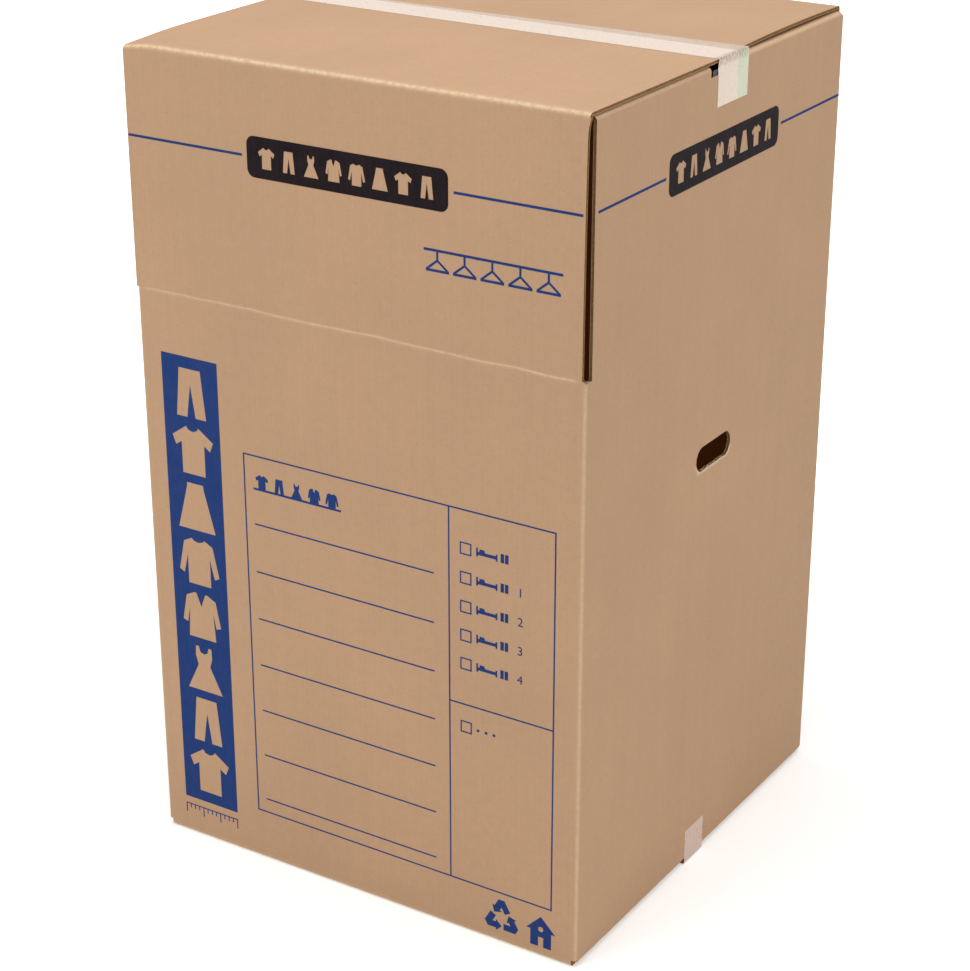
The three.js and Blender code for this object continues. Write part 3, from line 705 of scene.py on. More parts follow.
def add_hand_hole(sheet, wall, start, level, board, columns, rows):
    """Rings of board between a rectangle of the wall's grid and the hole's outline."""
    middle = level.hole_middle
    across = [c for c in columns if abs(c) <= HOLE_PATCH_HALF_WIDTH + WELD]
    up = [r - middle for r in rows if abs(r - middle) <= HOLE_PATCH_HALF_HEIGHT + WELD]
    outer = [(c, up[-1]) for c in across[:-1]]
    outer += [(across[-1], r) for r in reversed(up[1:])]
    outer += [(c, up[0]) for c in reversed(across[1:])]
    outer += [(across[0], r) for r in up[:-1]]
    radius = board.hole_height / 2
    reach = board.hole_width / 2 - radius
    length = 4 * reach + 2 * math.pi * radius
    top_middle = (len(across) - 1) / 2
    loops = []
    for share in HOLE_RINGS:
        loop = []
        for number, (column, row) in enumerate(outer):
            x, z = stadium((number - top_middle) / len(outer) * length, reach, radius)
            column_here = column + (x - column) * share
            row_here = row + (z - row) * share
            # The lower edge is ragged, where the die tore the liner, and lighter: partly the torn
            # liner, partly a painted highlight
            wear_and_highlight = HOLE_EDGE_WEAR_AND_HIGHLIGHT * max(0, (share - HOLE_EDGE_LIGHT_START) / (1 - HOLE_EDGE_LIGHT_START))
            if z > -radius / 3:
                wear_and_highlight = 0.0
            elif share == 1:
                tear = noise.noise(Vector((column_here * TEARS_PER_METRE, wall.outward.x * 7, 2.3)))
                row_here += board.hole_tear * tear
            point = wall.outward * wall.half + wall.travel * column_here + UP * (middle + row_here)
            blank = (start + column_here, middle + row_here)
            loop.append(sheet.vertex(point, wall.outward, blank, wear_and_highlight))
        loops.append(loop)
    for first, second in zip(loops, loops[1:]):
        for number in range(len(outer)):
            after = (number + 1) % len(outer)
            sheet.quad([first[number], first[after], second[after], second[number]])


def flap_rows(root, face, end, board):
    """Rows from a wall's end over the fold to the end of its flap: how far in from the
    wall's face, how high, and the outward and upward parts of the facing."""
    radius = board.fold_radius
    turn = 1 if face > root else -1
    bend = face - turn * radius
    rows = []
    if abs(bend - root) > WELD:
        for height in spread([min(root, bend), max(root, bend)], ROW_STEP)[::turn]:
            run = abs(height - root)
            rows.append(SimpleNamespace(inset=0.0, height=height, out=1.0, up=0.0, run=run))
        rows.pop()
    length = abs(bend - root)
    for step in range(ARC_STEPS + 1):
        angle = math.pi / 2 * step / ARC_STEPS
        rows.append(SimpleNamespace(
            inset=radius * (1 - math.cos(angle)), height=bend + turn * radius * math.sin(angle),
            out=math.cos(angle), up=turn * math.sin(angle), run=length + angle * radius,
        ))
    length += radius * math.pi / 2
    marks = [radius, board.notch_into_flap, FLAP_ROOT, end]
    for inset in spread(marks, FLAP_STEP)[1:]:
        run = length + inset - radius
        rows.append(SimpleNamespace(inset=inset, height=face, out=0.0, up=float(turn), run=run))
    for row in rows:
        centre = abs(bend - root) + radius * math.pi / 4
        row.fold = bell(row.run - centre, FLAP_FOLD_WIDTH)
    return rows


def add_flap(sheet, wall, start, columns, root, face, span, board, keep):
    """Adds a wall's flap between two ends of a span along the fold."""
    turn = 1 if face > root else -1
    end = wall.half - board.seam_gap / 2
    rows = flap_rows(root, face, end, board)
    inside = [c for c in columns if span[0] - WELD <= c <= span[1] + WELD]

    def place(column, row):
        point = wall.outward * (wall.half - row.inset) + wall.travel * column + UP * row.height
        facing = wall.outward * row.out + UP * row.up
        blank = (start + column, root + turn * row.run)
        # The fold's weights lighten the flap's fold: wear and a painted highlight
        ragged = row.fold * (SIDE_FLAP_WEAR_AND_HIGHLIGHT if wall.outward.x else 1)
        return point, facing, blank, ragged, row.fold * board.crinkle, FLAP_SMOOTH_WEAR_AND_HIGHLIGHT * row.fold

    sheet.patch(inside, rows, place, keep)


def add_flaps(sheet, level, board, columns, starts):
    """Adds the four bottom flaps and the top flaps but the front one."""
    walls = {name: wall_frame(name, level, board) for name in WALLS}
    slotted = level.half_x - board.corner_slot
    side_back = level.half_y - board.corner_slot
    notch = board.notch_width / 2 + WELD

    def whole(left, right, low, high):
        return True

    def notched(left, right, low, high):
        return not (max(abs(left), abs(right)) <= notch and high.inset <= board.notch_into_flap + WELD)

    top = [
        ("back", level.top_outer, (-slotted, slotted), whole),
        ("right", level.top_inner, (-side_back, level.side_front), notched),
        ("left", level.top_inner, (-level.side_front, walls["left"].end), notched),
    ]
    root = level.ring_top
    for name, face, span, keep in top:
        add_flap(sheet, walls[name], starts[name], columns[name], root, face, span, board, keep)
    bottom = [
        ("back", level.bottom_outer, (-slotted, slotted)),
        ("front", level.bottom_outer, (-slotted, slotted)),
        ("right", level.bottom_inner, (-side_back, side_back)),
        ("left", level.bottom_inner, (-side_back, walls["left"].end)),
    ]
    root = level.ring_bottom
    for name, face, span in bottom:
        add_flap(sheet, walls[name], starts[name], columns[name], root, face, span, board, whole)


def add_drop_panel(sheet, level, board, columns, starts):
    """The front above its crease, cut square at both sides, with the outer top flap."""
    wall = wall_frame("front", level, board)
    ends = [level.half_x, level.half_x - board.outer_inset]
    lines = sorted([-end for end in ends] + columns["front"] + ends)
    heights = spread([level.drop_score, level.drop_top], PANEL_ROW_STEP)
    heights += [level.drop_score + distance for distance in CREASE_ROWS]
    heights += [level.drop_top - distance for distance in TOP_FOLD_ROWS]
    rows = []
    for height in sorted(heights)[:-1]:
        # This weight lightens the top fold: worn liner and a painted highlight
        fold = bell(level.drop_top - height + board.fold_radius * math.pi / 4, FLAP_FOLD_WIDTH)
        row = SimpleNamespace(inset=0.0, height=height, out=1.0, up=0.0, run=height, fold=fold)
        rows.append(row)
    for row in flap_rows(level.drop_top, level.top_outer, wall.half - board.seam_gap / 2, board):
        row.run += level.drop_top
        rows.append(row)

    def place(column, row):
        # The right edge of the cut panel gives way, which opens its slot
        share = (row.height - level.drop_score) / (level.drop_top - level.drop_score)
        share = min(1, max(0, share))
        bow = board.panel_bow * min(1, share / BOW_START) * min(1, (1 - share) / BOW_END)
        bow *= 1 - BOW_LOSS * share ** 2
        reach = max(0, -column - (wall.half - PANEL_BOW_SPAN)) / PANEL_BOW_SPAN
        column += bow * reach
        point = wall.outward * (wall.half - row.inset) + wall.travel * column + UP * row.height
        facing = wall.outward * row.out + UP * row.up
        return point, facing, (starts["front"] + column, row.run), row.fold, row.fold * board.crinkle

    def keep(left, right, low, high):
        return low.height < level.drop_top - WELD or max(abs(left), abs(right)) <= ends[1] + WELD

    sheet.patch(lines, rows, place, keep)


# The crease: how far from its line the board is changed, half the width of its groove,
# the place, width and height of the lip beside it, where its ends fade, how strong the
# painted highlight along its upper edge is and how far above its line that highlight lies
CREASE_ZONE = 9 * MM
GROOVE_WIDTH = 1.5 * MM
LIP_PLACE = 3.4 * MM
LIP_WIDTH = 1.6 * MM
LIP_SHARE = 0.22
CREASE_FADE = 12 * MM
CREASE_HIGHLIGHT = 1.5
HIGHLIGHT_ABOVE = 0.8 * MM

# The back top flap stands off from here backwards, and this far in from its side
GAPE_START = 52 * MM
GAPE_REACH = 70 * MM

# How far the front left corner of the top hangs along each way
DROOP_SIDE = 26 * MM
DROOP_FRONT = 60 * MM
DROOP_HEIGHT = 45 * MM


def dent(point):
    """Uneven depth of a crushed fold, in dents about 13 mm and 5 mm wide."""
    return max(0, 0.55 + 0.7 * noise.noise(point * 75) + 0.45 * noise.noise(point * 190))


def crease(sheet, number, level, board):
    """How deep the drop panel's crease presses a point in. It also lightens the point just above the
    groove with a painted highlight.
    """
    point = sheet.points[number]
    span = level.half_x - board.corner_slot
    height = point.z - level.drop_score
    if sheet.normals[number].y >= -0.99 or abs(point.x) >= span or abs(height) >= CREASE_ZONE:
        return 0.0
    # The line wanders in waves about 40 mm and 110 mm long, with bites about 8 mm long
    wander = 1.5 * MM * noise.noise(Vector((point.x * 24, 3.7, 0)))
    wander += 2.2 * MM * noise.noise(Vector((point.x * 9, 5.1, 0)))
    across = height - wander
    bite = 0.75 + 0.6 * noise.noise(Vector((point.x * 130, 9.1, 0)))
    groove = bite * bell(across, GROOVE_WIDTH)
    lip = LIP_SHARE * bell(abs(across) - LIP_PLACE, LIP_WIDTH)
    # It fades at both ends and is deeper towards the right
    fade = min(1, (span - abs(point.x)) / CREASE_FADE)
    fade *= 0.6 + 0.2 * (1 + point.x / level.half_x)
    # A painted highlight along the crease's upper edge
    wear_and_highlight = CREASE_HIGHLIGHT * bell(across - HIGHLIGHT_ABOVE, GROOVE_WIDTH) * fade
    sheet.upright_folds[number] = max(sheet.upright_folds[number], wear_and_highlight)
    return board.crease_depth * (groove - lip) * fade


def crush(sheet, level, board):
    """Dents the folds, presses the crease in, lifts the back flap's right edge and lets
    the front left corner of the top hang."""
    gape_end = level.half_y - 2 * board.corner_slot
    on_top = level.top_outer - board.thickness
    for number, point in enumerate(sheet.points):
        facing = sheet.normals[number]
        sway = sheet.sways[number]
        depth = sway * dent(point) if sway > WELD else 0.0
        depth += crease(sheet, number, level, board)
        moved = point - facing * depth
        behind_tape = (point.y - GAPE_START) / (gape_end - GAPE_START)
        if facing.z > 0.9 and point.z > on_top and 0 < behind_tape < 1:
            edge = bell(level.half_x - point.x, GAPE_REACH)
            moved = moved + UP * (board.gape * edge * math.sin(math.pi * behind_tape) ** 0.7)
        if facing.y < -0.5 or point.z > on_top:
            hang = bell(point.x + level.half_x, DROOP_SIDE) * bell(point.y + level.half_y, DROOP_FRONT)
            hang *= max(0, 1 - (level.top_outer - point.z) / DROOP_HEIGHT) ** 2
            moved = moved - UP * (board.droop * hang)
        sheet.points[number] = moved


# A cut edge shows one liner, the recessed middle in three bands, and the other liner
EDGE_BANDS = 5
CUT_LINER_SLOT = 2
MEDIUM_SLOT = 3
SHARP_FOLD = math.radians(38)


def board_solid(sheet, board):
    """Gives the sheet its thickness: vertices, faces, a material and a blank place for each."""
    points = np.array([tuple(p) for p in sheet.points])
    normals = np.array([tuple(n) for n in sheet.normals])
    count = len(points)
    vertices = list(points) + list(points - normals * board.thickness)
    source = list(range(count)) * 2
    faces = list(sheet.quads) + [tuple(count + i for i in reversed(quad)) for quad in sheet.quads]
    slots = [0] * len(sheet.quads) + [1] * len(sheet.quads)

    # A side that only one quad has lies on a cut edge. The keys keep their order.
    borders = {}
    for quad in sheet.quads:
        for start, end in zip(quad, quad[1:] + quad[:1]):
            if (end, start) in borders:
                del borders[(end, start)]
            else:
                borders[(start, end)] = True

    # The ways from a cut edge into the board
    inward = {}
    for start, end in borders:
        along = points[end] - points[start]
        along /= np.linalg.norm(along)
        way = np.cross(normals[start] + normals[end], along)
        way /= np.linalg.norm(way)
        for corner in (start, end):
            inward.setdefault(corner, []).append(way)

    # Each border point's vertices through the board, from the outer to the inner liner
    rims = {}
    for corner, ways in inward.items():
        if len(ways) == 2 and np.dot(ways[0], ways[1]) > 0.5:
            way = (ways[0] + ways[1]) / 2
        else:
            way = sum(ways)
        base, down, back = points[corner], -normals[corner], way * board.recess
        near, far = down * board.liner, down * (board.thickness - board.liner)
        extra = [base + near, base + near + back, base + far + back, base + far]
        first = len(vertices)
        vertices += extra
        source += [corner] * len(extra)
        rims[corner] = [corner, first, first + 1, first + 2, first + 3, count + corner]

    for start, end in borders:
        for band in range(EDGE_BANDS):
            here, there = rims[start], rims[end]
            faces.append((there[band], here[band], here[band + 1], there[band + 1]))
            slots.append(CUT_LINER_SLOT if band in (0, EDGE_BANDS - 1) else MEDIUM_SLOT)
    return vertices, faces, slots, source


def board_mesh(sheet, board):
    """The board as a mesh, with its material slots, its blank's map and its fold weights, which
    lighten the folds with wear and a painted highlight.
    """
    vertices, faces, slots, source = board_solid(sheet, board)
    mesh = bpy.data.meshes.new("carton_board")
    mesh.from_pydata([tuple(v) for v in vertices], [], faces)
    mesh.polygons.foreach_set("material_index", slots)
    blank = np.array(sheet.blank)[source]
    layer = mesh.uv_layers.new(name="blank")
    loops = np.zeros(len(mesh.loops), dtype=np.int32)
    mesh.loops.foreach_get("vertex_index", loops)
    layer.data.foreach_set("uv", blank[loops].astype(np.float32).ravel())
    for name, values in (("fold", sheet.folds), ("upright_fold", sheet.upright_folds)):
        attribute = mesh.attributes.new(name, "FLOAT", "POINT")
        attribute.data.foreach_set("value", np.array(values)[source].astype(np.float32))
    mesh.validate()
    mesh.polygons.foreach_set("use_smooth", [True] * len(mesh.polygons))
    mesh.set_sharp_from_angle(angle=SHARP_FOLD)
    return mesh


def link_piece(name, mesh):
    """Links a finished mesh as a piece that rides with the box."""
    piece = bpy.data.objects.new(name, mesh)
    bpy.context.scene.collection.objects.link(piece)
    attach(piece, BODY)
    return piece


class WARDROBE_OT_fold_carton(bpy.types.Operator):
    """Fold the carton from its blank, with crushed folds and cut edges"""
    bl_idname = "wardrobe_box.fold_carton"
    bl_label = "Fold carton"

    def execute(self, context):
        board = context.scene.wardrobe_box.board
        level = box_levels(board)
        columns = wall_columns(level, board)
        sheet = Sheet()
        starts = add_walls(sheet, level, board, columns)
        add_flaps(sheet, level, board, columns, starts)
        add_drop_panel(sheet, level, board, columns, starts)
        crush(sheet, level, board)
        mesh = board_mesh(sheet, board)
        outer = kraft_liner("kraft_liner", board, board.kraft)
        # The inner liner's darker kraft is a painted shade
        inner = kraft_liner("inner_kraft_liner", board, board.shaded_inner_kraft)
        # The inner liner glows a little: painted light that stands in for warm daylight coming through
        # the walls
        tree = inner.node_tree
        painted_glow = {"Emission Color": rgba(board.painted_inner_glow), "Emission Strength": 1}
        feed(tree, tree.nodes["Principled BSDF"], painted_glow)
        cut = cut_paper("cut_liner", board.cut_liner, 0.12)
        medium = cut_paper("fluting_medium", board.medium, 0.25)
        for material in (outer, inner, cut, medium):
            mesh.materials.append(material)
        piece = link_piece("carton_board", mesh)
        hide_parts("carton")
        return {"FINISHED"}


# Flutes at the cut edges

def new_group(name, sockets):
    """A geometry node group with named inputs, its group input and its output."""
    group = bpy.data.node_groups.new(name, "GeometryNodeTree")
    ids = {}
    for label, kind, value in sockets:
        socket = group.interface.new_socket(name=label, in_out="INPUT", socket_type=kind)
        ids[label] = socket.identifier
        if value is not None:
            socket.default_value = value
    group.interface.new_socket(name="Geometry", in_out="OUTPUT", socket_type="NodeSocketGeometry")
    return group, ids, add_node(group, "NodeGroupInput"), add_node(group, "NodeGroupOutput")


WAVE_POINTS = 9


def flute_group(board, material):
    """One flute as a bent strip of paper, repeated along a cut edge."""
    group, ids, given, out = new_group("flute_ends", [
        ("Pitch", "NodeSocketFloat", board.flute_pitch),
        ("Height", "NodeSocketFloat", board.thickness - 2 * board.liner - board.flute_paper),
        ("Paper", "NodeSocketFloat", board.flute_paper),
        ("Reach", "NodeSocketFloat", board.flute_reach),
        ("Flutes", "NodeSocketInt", 1),
    ])
    pitch, height, paper, reach, flutes = (given.outputs[label] for label in ids)
    grid = add_node(group, "GeometryNodeMeshGrid", {
        "Size X": pitch, "Size Y": reach, "Vertices X": WAVE_POINTS, "Vertices Y": 2,
    })
    place = add_node(group, "GeometryNodeInputPosition")
    x, y, _ = add_node(group, "ShaderNodeSeparateXYZ", {0: place}).outputs
    turn = add_node(group, MATH, {0: x, 1: pitch}, operation="DIVIDE")
    turn = add_node(group, MATH, {0: turn, 1: 2 * math.pi}, operation="MULTIPLY")
    sine = add_node(group, MATH, {0: turn}, operation="SINE")
    half_height = add_node(group, MATH, {0: height, 1: 0.5}, operation="MULTIPLY")
    wave = add_node(group, MATH, {0: sine, 1: half_height}, operation="MULTIPLY")
    bent = add_node(group, "ShaderNodeCombineXYZ", {0: x, 1: wave, 2: y})
    strip = add_node(group, "GeometryNodeSetPosition", {"Geometry": grid, "Position": bent})
    lifted = add_node(group, "GeometryNodeExtrudeMesh", {
        "Mesh": strip, "Offset Scale": paper, "Individual": False,
    })
    under = add_node(group, "GeometryNodeFlipFaces", {0: strip})
    both = add_node(group, "GeometryNodeJoinGeometry", {0: lifted})
    feed(group, both, {0: under})
    flute = add_node(group, "GeometryNodeMergeByDistance", {0: both})
    step = add_node(group, "ShaderNodeCombineXYZ", {0: pitch})
    line = add_node(group, "GeometryNodeMeshLine", {"Count": flutes, "Offset": step}, mode="OFFSET")
    row = add_node(group, "GeometryNodeInstanceOnPoints", {"Points": line, "Instance": flute})
    real = add_node(group, "GeometryNodeRealizeInstances", {0: row})
    dressed = add_node(group, "GeometryNodeSetMaterial", {"Geometry": real, "Material": material})
    feed(group, out, {0: dressed})
    return group, ids


def flute_mesh(group, ids, flutes):
    """Runs the flute group once for a number of flutes and returns a plain mesh."""
    carrier = bpy.data.objects.new("flute_row", bpy.data.meshes.new("flute_row"))
    bpy.context.scene.collection.objects.link(carrier)
    modifier = carrier.modifiers.new("flutes", "NODES")
    modifier.node_group = group
    modifier[ids["Flutes"]] = flutes
    bpy.context.view_layer.update()
    depsgraph = bpy.context.evaluated_depsgraph_get()
    mesh = bpy.data.meshes.new_from_object(carrier.evaluated_get(depsgraph))
    bpy.data.objects.remove(carrier)
    return mesh


def joined_mesh(name, parts):
    """One mesh of several placed ones, all with the first one's materials."""
    vertices, faces = [], []
    for mesh, matrix in parts:
        first = len(vertices)
        vertices += [tuple(matrix @ vertex.co) for vertex in mesh.vertices]
        faces += [tuple(first + i for i in polygon.vertices) for polygon in mesh.polygons]
    whole = bpy.data.meshes.new(name)
    whole.from_pydata(vertices, [], faces)
    for material in parts[0][0].materials:
        whole.materials.append(material)
    return whole


def flute_place(wall, middle, height, deeper, flutes, board):
    """Where a row of flutes stands at a cut edge of a wall, running into the board."""
    along = wall.travel * deeper
    if along.cross(wall.outward).dot(UP * deeper) < 0:
        along = -along
    turn = Matrix((along, wall.outward, UP * deeper)).transposed().to_4x4()
    start = wall.outward * (wall.half - board.thickness / 2) + wall.travel * middle
    start += along * (-(flutes - 1) / 2 * board.flute_pitch)
    start += UP * (height + deeper * board.flute_reach / 2)
    return Matrix.Translation(start) @ turn


class WARDROBE_OT_show_flutes(bpy.types.Operator):
    """Show the fluted paper at the hand holes, the bar's notches and the slots' ends"""
    bl_idname = "wardrobe_box.show_flutes"
    bl_label = "Show flutes"

    def execute(self, context):
        board = context.scene.wardrobe_box.board
        level = box_levels(board)
        group, ids = flute_group(board, bpy.data.materials["cut_liner"])
        radius = board.hole_height / 2
        hole_reach = board.hole_width / 2 - radius
        slot_middle = level.side_front + board.drop_slot / 2
        parts = []
        for name, hand in (("right", 1), ("left", -1)):
            wall = wall_frame(name, level, board)
            # Each edge by its middle, half its length, its height and the way into the board
            edges = [
                (0, hole_reach, level.hole_middle - radius, -1),
                (0, hole_reach, level.hole_middle + radius, 1),
                (0, board.notch_width / 2, level.notch_floor, -1),
                (hand * slot_middle, board.drop_slot / 2, level.drop_score, -1),
            ]
            for middle, half, height, deeper in edges:
                flutes = max(1, int(2 * half / board.flute_pitch))
                place = flute_place(wall, middle, height, deeper, flutes, board)
                parts.append((flute_mesh(group, ids, flutes), place))
        mesh = joined_mesh("flute_ends", parts)
        link_piece("flute_ends", mesh)
        return {"FINISHED"}


# Tape

# The mesh of a strip: cells across it, steps along it and round its bend
TAPE_ACROSS = 12
TAIL_STEP = 3 * MM
SPAN_STEP = 15 * MM
BEND_STEPS = 5
SHARP_FILM = math.radians(50)

# How far a strip's sides waver, and how far its glue side is off the board
TAPE_WAVER = 0.25 * MM
TAPE_GLUE = 0.04 * MM

# Where the film bridges the notch, from the bend: how far the fine steps reach onto the
# top, and the middle and half length of the clearer part
BRIDGE_REACH = 12 * MM
BRIDGE_MIDDLE = 1.5 * MM
BRIDGE_HALF = 7 * MM

# Where a tail gives way over the notch: how far down, over what height, how far inside
# the notch's sides and over what width it comes back
HOLLOW_BELOW = 11 * MM
HOLLOW_HEIGHT = 6 * MM
HOLLOW_INSET = 9 * MM
HOLLOW_RAMP = 2.5 * MM


def tape_path(level, tape, face, turn, tail, lift):
    """Places along a strip from one tail over the seam to the other: x, z and its facing."""
    half = level.half_x + lift
    level_face = face + turn * lift
    radius = tape.bend
    path = []
    for height in spread([radius, tail], TAIL_STEP)[::-1]:
        path.append((half, level_face - turn * height, 1.0, 0.0))
    for step in range(1, BEND_STEPS):
        angle = math.pi / 2 * step / BEND_STEPS
        x = half - radius * (1 - math.cos(angle))
        z = level_face - turn * radius * (1 - math.sin(angle))
        path.append((x, z, math.cos(angle), turn * math.sin(angle)))
    near_edge = half - BRIDGE_REACH
    span = spread([near_edge, half - radius], TAIL_STEP)[::-1]
    span += spread([0, near_edge], SPAN_STEP)[-2::-1]
    path += [(x, level_face, 0.0, float(turn)) for x in span]
    mirrored = [(-x, z, -out, up) for x, z, out, up in path[:-1]]
    return path + mirrored[::-1]


def film_points(strip, level, board, tape):
    """Points of a strip's two faces, row after row: place, place on the strip, bridging."""
    turn = strip.turn
    path = tape_path(level, tape, strip.face, turn, strip.tail, strip.layer * tape.layer + TAPE_GLUE)
    vertices, blanks, bridges = [], [], []
    run = 0.0
    for number, (x, z, out, up) in enumerate(path):
        if number:
            run += math.hypot(x - path[number - 1][0], z - path[number - 1][1])
        share = (x / level.half_x + 1) / 2
        middle = strip.left_y + (strip.right_y - strip.left_y) * share
        below = turn * (strip.face - z)
        past_bend = below if below > tape.bend / 2 else abs(x) - level.half_x
        bridge = math.exp(-((past_bend - BRIDGE_MIDDLE) / BRIDGE_HALF) ** 4) if turn > 0 else 0.0
        for line in range(TAPE_ACROSS + 1):
            across = (line / TAPE_ACROSS - 0.5) * tape.width
            waver = noise.noise(Vector((run * 30, line * 9.0, strip.layer * 5.0)))
            y = middle + across + (TAPE_WAVER * waver if line in (0, TAPE_ACROSS) else 0)
            hollow = 0.0
            if abs(out) > 0.9 and turn > 0:
                inside = abs(y) - board.notch_width / 2 + HOLLOW_INSET
                sideways = 1 / (1 + math.exp(inside / HOLLOW_RAMP))
                hollow = tape.sag * bell(below - HOLLOW_BELOW, HOLLOW_HEIGHT) * sideways
            for height in (0, tape.film):
                vertices.append((x + out * (height - hollow), y, z + up * height))
                blanks.append((run, across))
                bridges.append(bridge)
    return vertices, blanks, bridges


def film_faces(rows):
    """Faces of a strip of that many rows: both faces of the film, its sides and its ends."""
    stride = 2 * (TAPE_ACROSS + 1)
    faces = []
    for row in range(rows - 1):
        here, there = row * stride, (row + 1) * stride
        for line in range(TAPE_ACROSS):
            a, b = here + 2 * line, here + 2 * line + 2
            c, d = there + 2 * line + 2, there + 2 * line
            faces += [(a, b, c, d), (d + 1, c + 1, b + 1, a + 1)]
        last = stride - 2
        faces += [(here, there, there + 1, here + 1)]
        faces += [(here + last, here + last + 1, there + last + 1, there + last)]
    end = (rows - 1) * stride
    for line in range(TAPE_ACROSS):
        a, b = 2 * line, 2 * line + 2
        faces += [(a, a + 1, b + 1, b), (end + a, end + b, end + b + 1, end + a + 1)]
    return faces


def tape_strip(name, strip, level, board, tape):
    """A strip of film over a seam, with both faces, its edges and its own flat map."""
    vertices, blanks, bridges = film_points(strip, level, board, tape)
    faces = film_faces(len(vertices) // (2 * (TAPE_ACROSS + 1)))
    mesh = bpy.data.meshes.new(name)
    mesh.from_pydata(vertices, [], faces)
    layer_map = mesh.uv_layers.new(name="strip")
    for loop in mesh.loops:
        layer_map.data[loop.index].uv = blanks[loop.vertex_index]
    attribute = mesh.attributes.new("bridge", "FLOAT", "POINT")
    attribute.data.foreach_set("value", bridges)
    # The tails at both ends take the second material
    for polygon in mesh.polygons:
        beyond = strip.turn * (polygon.center.z - strip.face)
        polygon.material_index = 1 if beyond < -tape.bend / 2 else 0
    turn_outwards(mesh)
    mesh.polygons.foreach_set("use_smooth", [True] * len(mesh.polygons))
    mesh.set_sharp_from_angle(angle=SHARP_FILM)
    return mesh


def turn_outwards(mesh):
    """Makes every face of a closed mesh point out, by its signed volume."""
    volume = 0.0
    for polygon in mesh.polygons:
        corners = [mesh.vertices[i].co for i in polygon.vertices]
        for second, third in zip(corners[1:], corners[2:]):
            volume += corners[0].dot(second.cross(third))
    if volume < 0:
        mesh.flip_normals()


class WARDROBE_OT_lay_tape(bpy.types.Operator):
    """Lay the strips of packing tape over the top and bottom seams"""
    bl_idname = "wardrobe_box.lay_tape"
    bl_label = "Lay tape"

    def execute(self, context):
        board = context.scene.wardrobe_box.board
        tape = context.scene.wardrobe_box.tape
        level = box_levels(board)
        cream = packing_film("cream_packing_film", tape.cream, tape, tape.cover)
        # The film on the top is a shaded copy of the cream film: painted shade
        flat = packing_film("flat_packing_film", tape.shaded_flat_cream, tape, tape.cover)
        thin = packing_film("thin_packing_film", tape.cream, tape, tape.thin_cover)
        green = packing_film("green_packing_film", tape.pale_green, tape, tape.cover)
        rosy = packing_film("rosy_packing_film", tape.rosy, tape, tape.cover)
        over = {"face": level.top_outer, "turn": 1, "tail": tape.top_tail}
        under = {"face": level.bottom_outer, "turn": -1, "tail": tape.bottom_tail}
        # Each strip's layer, its middle at the left and at the right, and the films of its
        # flat part and of its tails
        strips = {
            "top_tape_lower": SimpleNamespace(
                **over, layer=0, left_y=10 * MM, right_y=24 * MM, films=(thin, green),
            ),
            "top_tape_upper": SimpleNamespace(
                **over, layer=1, left_y=6 * MM, right_y=-2 * MM, films=(flat, cream),
            ),
            "bottom_tape": SimpleNamespace(
                **under, layer=0, left_y=-12 * MM, right_y=-12 * MM, films=(rosy, rosy),
            ),
        }
        for node, strip in strips.items():
            name = f"{node}_film"
            mesh = tape_strip(name, strip, level, board, tape)
            for film in strip.films:
                mesh.materials.append(film)
            piece = link_piece(name, mesh)
            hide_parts(node)
        return {"FINISHED"}


# Steel and print, which keep their solids

def dress(node, material):
    """Gives a carried-over node its material."""
    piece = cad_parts[node]
    piece.data.materials.clear()
    piece.data.materials.append(material)


class WARDROBE_OT_galvanise_bar(bpy.types.Operator):
    """Give the hanger bar its galvanised finish"""
    bl_idname = "wardrobe_box.galvanise_bar"
    bl_label = "Galvanise bar"

    def execute(self, context):
        dress("hanger_bar", galvanised_steel())
        return {"FINISHED"}


class WARDROBE_OT_ink_print(bpy.types.Operator):
    """Give the stripes, fields, form and signs their inks"""
    bl_idname = "wardrobe_box.ink_print"
    bl_label = "Ink print"

    def execute(self, context):
        settings = context.scene.wardrobe_box
        blue = flexo_ink("blue_flexo_ink", settings.board, settings.print.blue)
        dark = flexo_ink("dark_flexo_ink", settings.board, settings.print.dark)
        for node in BLUE_PRINT:
            dress(node, blue)
        for node in DARK_PRINT:
            dress(node, dark)
        return {"FINISHED"}


# Signs

# A digit's height as a share of its letter's size
DIGIT_SHARE = 0.7

# Width of a bed sign, and the gap before its number, in heights of the sign
BED_WIDTH = 3.9
DIGIT_GAP = 1.1

# The middle of the arrows and the lower left corner of the house, on the front
ARROWS_PLACE = (205 * MM, 35 * MM)
HOUSE_PLACE = (240 * MM, 14 * MM)


def flat_mesh(outlines, ink):
    """Closed outlines, some inside others as holes, as one flat mesh as high as the ink."""
    curve = bpy.data.curves.new("outline", "CURVE")
    curve.dimensions = "2D"
    curve.fill_mode = "BOTH"
    curve.extrude = ink / 2
    for outline in outlines:
        spline = curve.splines.new("POLY")
        spline.points.add(len(outline) - 1)
        for point, (x, y) in zip(spline.points, outline):
            point.co = (x, y, 0, 1)
        spline.use_cyclic_u = True
    return plain_mesh(curve)


def digit_mesh(digit, height, ink):
    """A digit as one flat mesh as high as the ink."""
    text = bpy.data.curves.new("digit", "FONT")
    text.body = digit
    text.size = height / DIGIT_SHARE
    text.extrude = ink / 2
    text.align_x = "LEFT"
    return plain_mesh(text)


def plain_mesh(curve):
    """The mesh of a flat curve or a text, which is then deleted."""
    carrier = bpy.data.objects.new("carrier", curve)
    bpy.context.scene.collection.objects.link(carrier)
    bpy.context.view_layer.update()
    depsgraph = bpy.context.evaluated_depsgraph_get()
    mesh = bpy.data.meshes.new_from_object(carrier.evaluated_get(depsgraph))
    bpy.data.objects.remove(carrier)
    return mesh


def block(x0, x1, y0, y1):
    """Outline of a rectangle."""
    return [(x0, y0), (x1, y0), (x1, y1), (x0, y1)]


def round_dot(x, y, radius, corners=20):
    """Outline of a disc."""
    turns = [2 * math.pi * number / corners for number in range(corners)]
    return [(x + radius * math.cos(turn), y + radius * math.sin(turn)) for turn in turns]


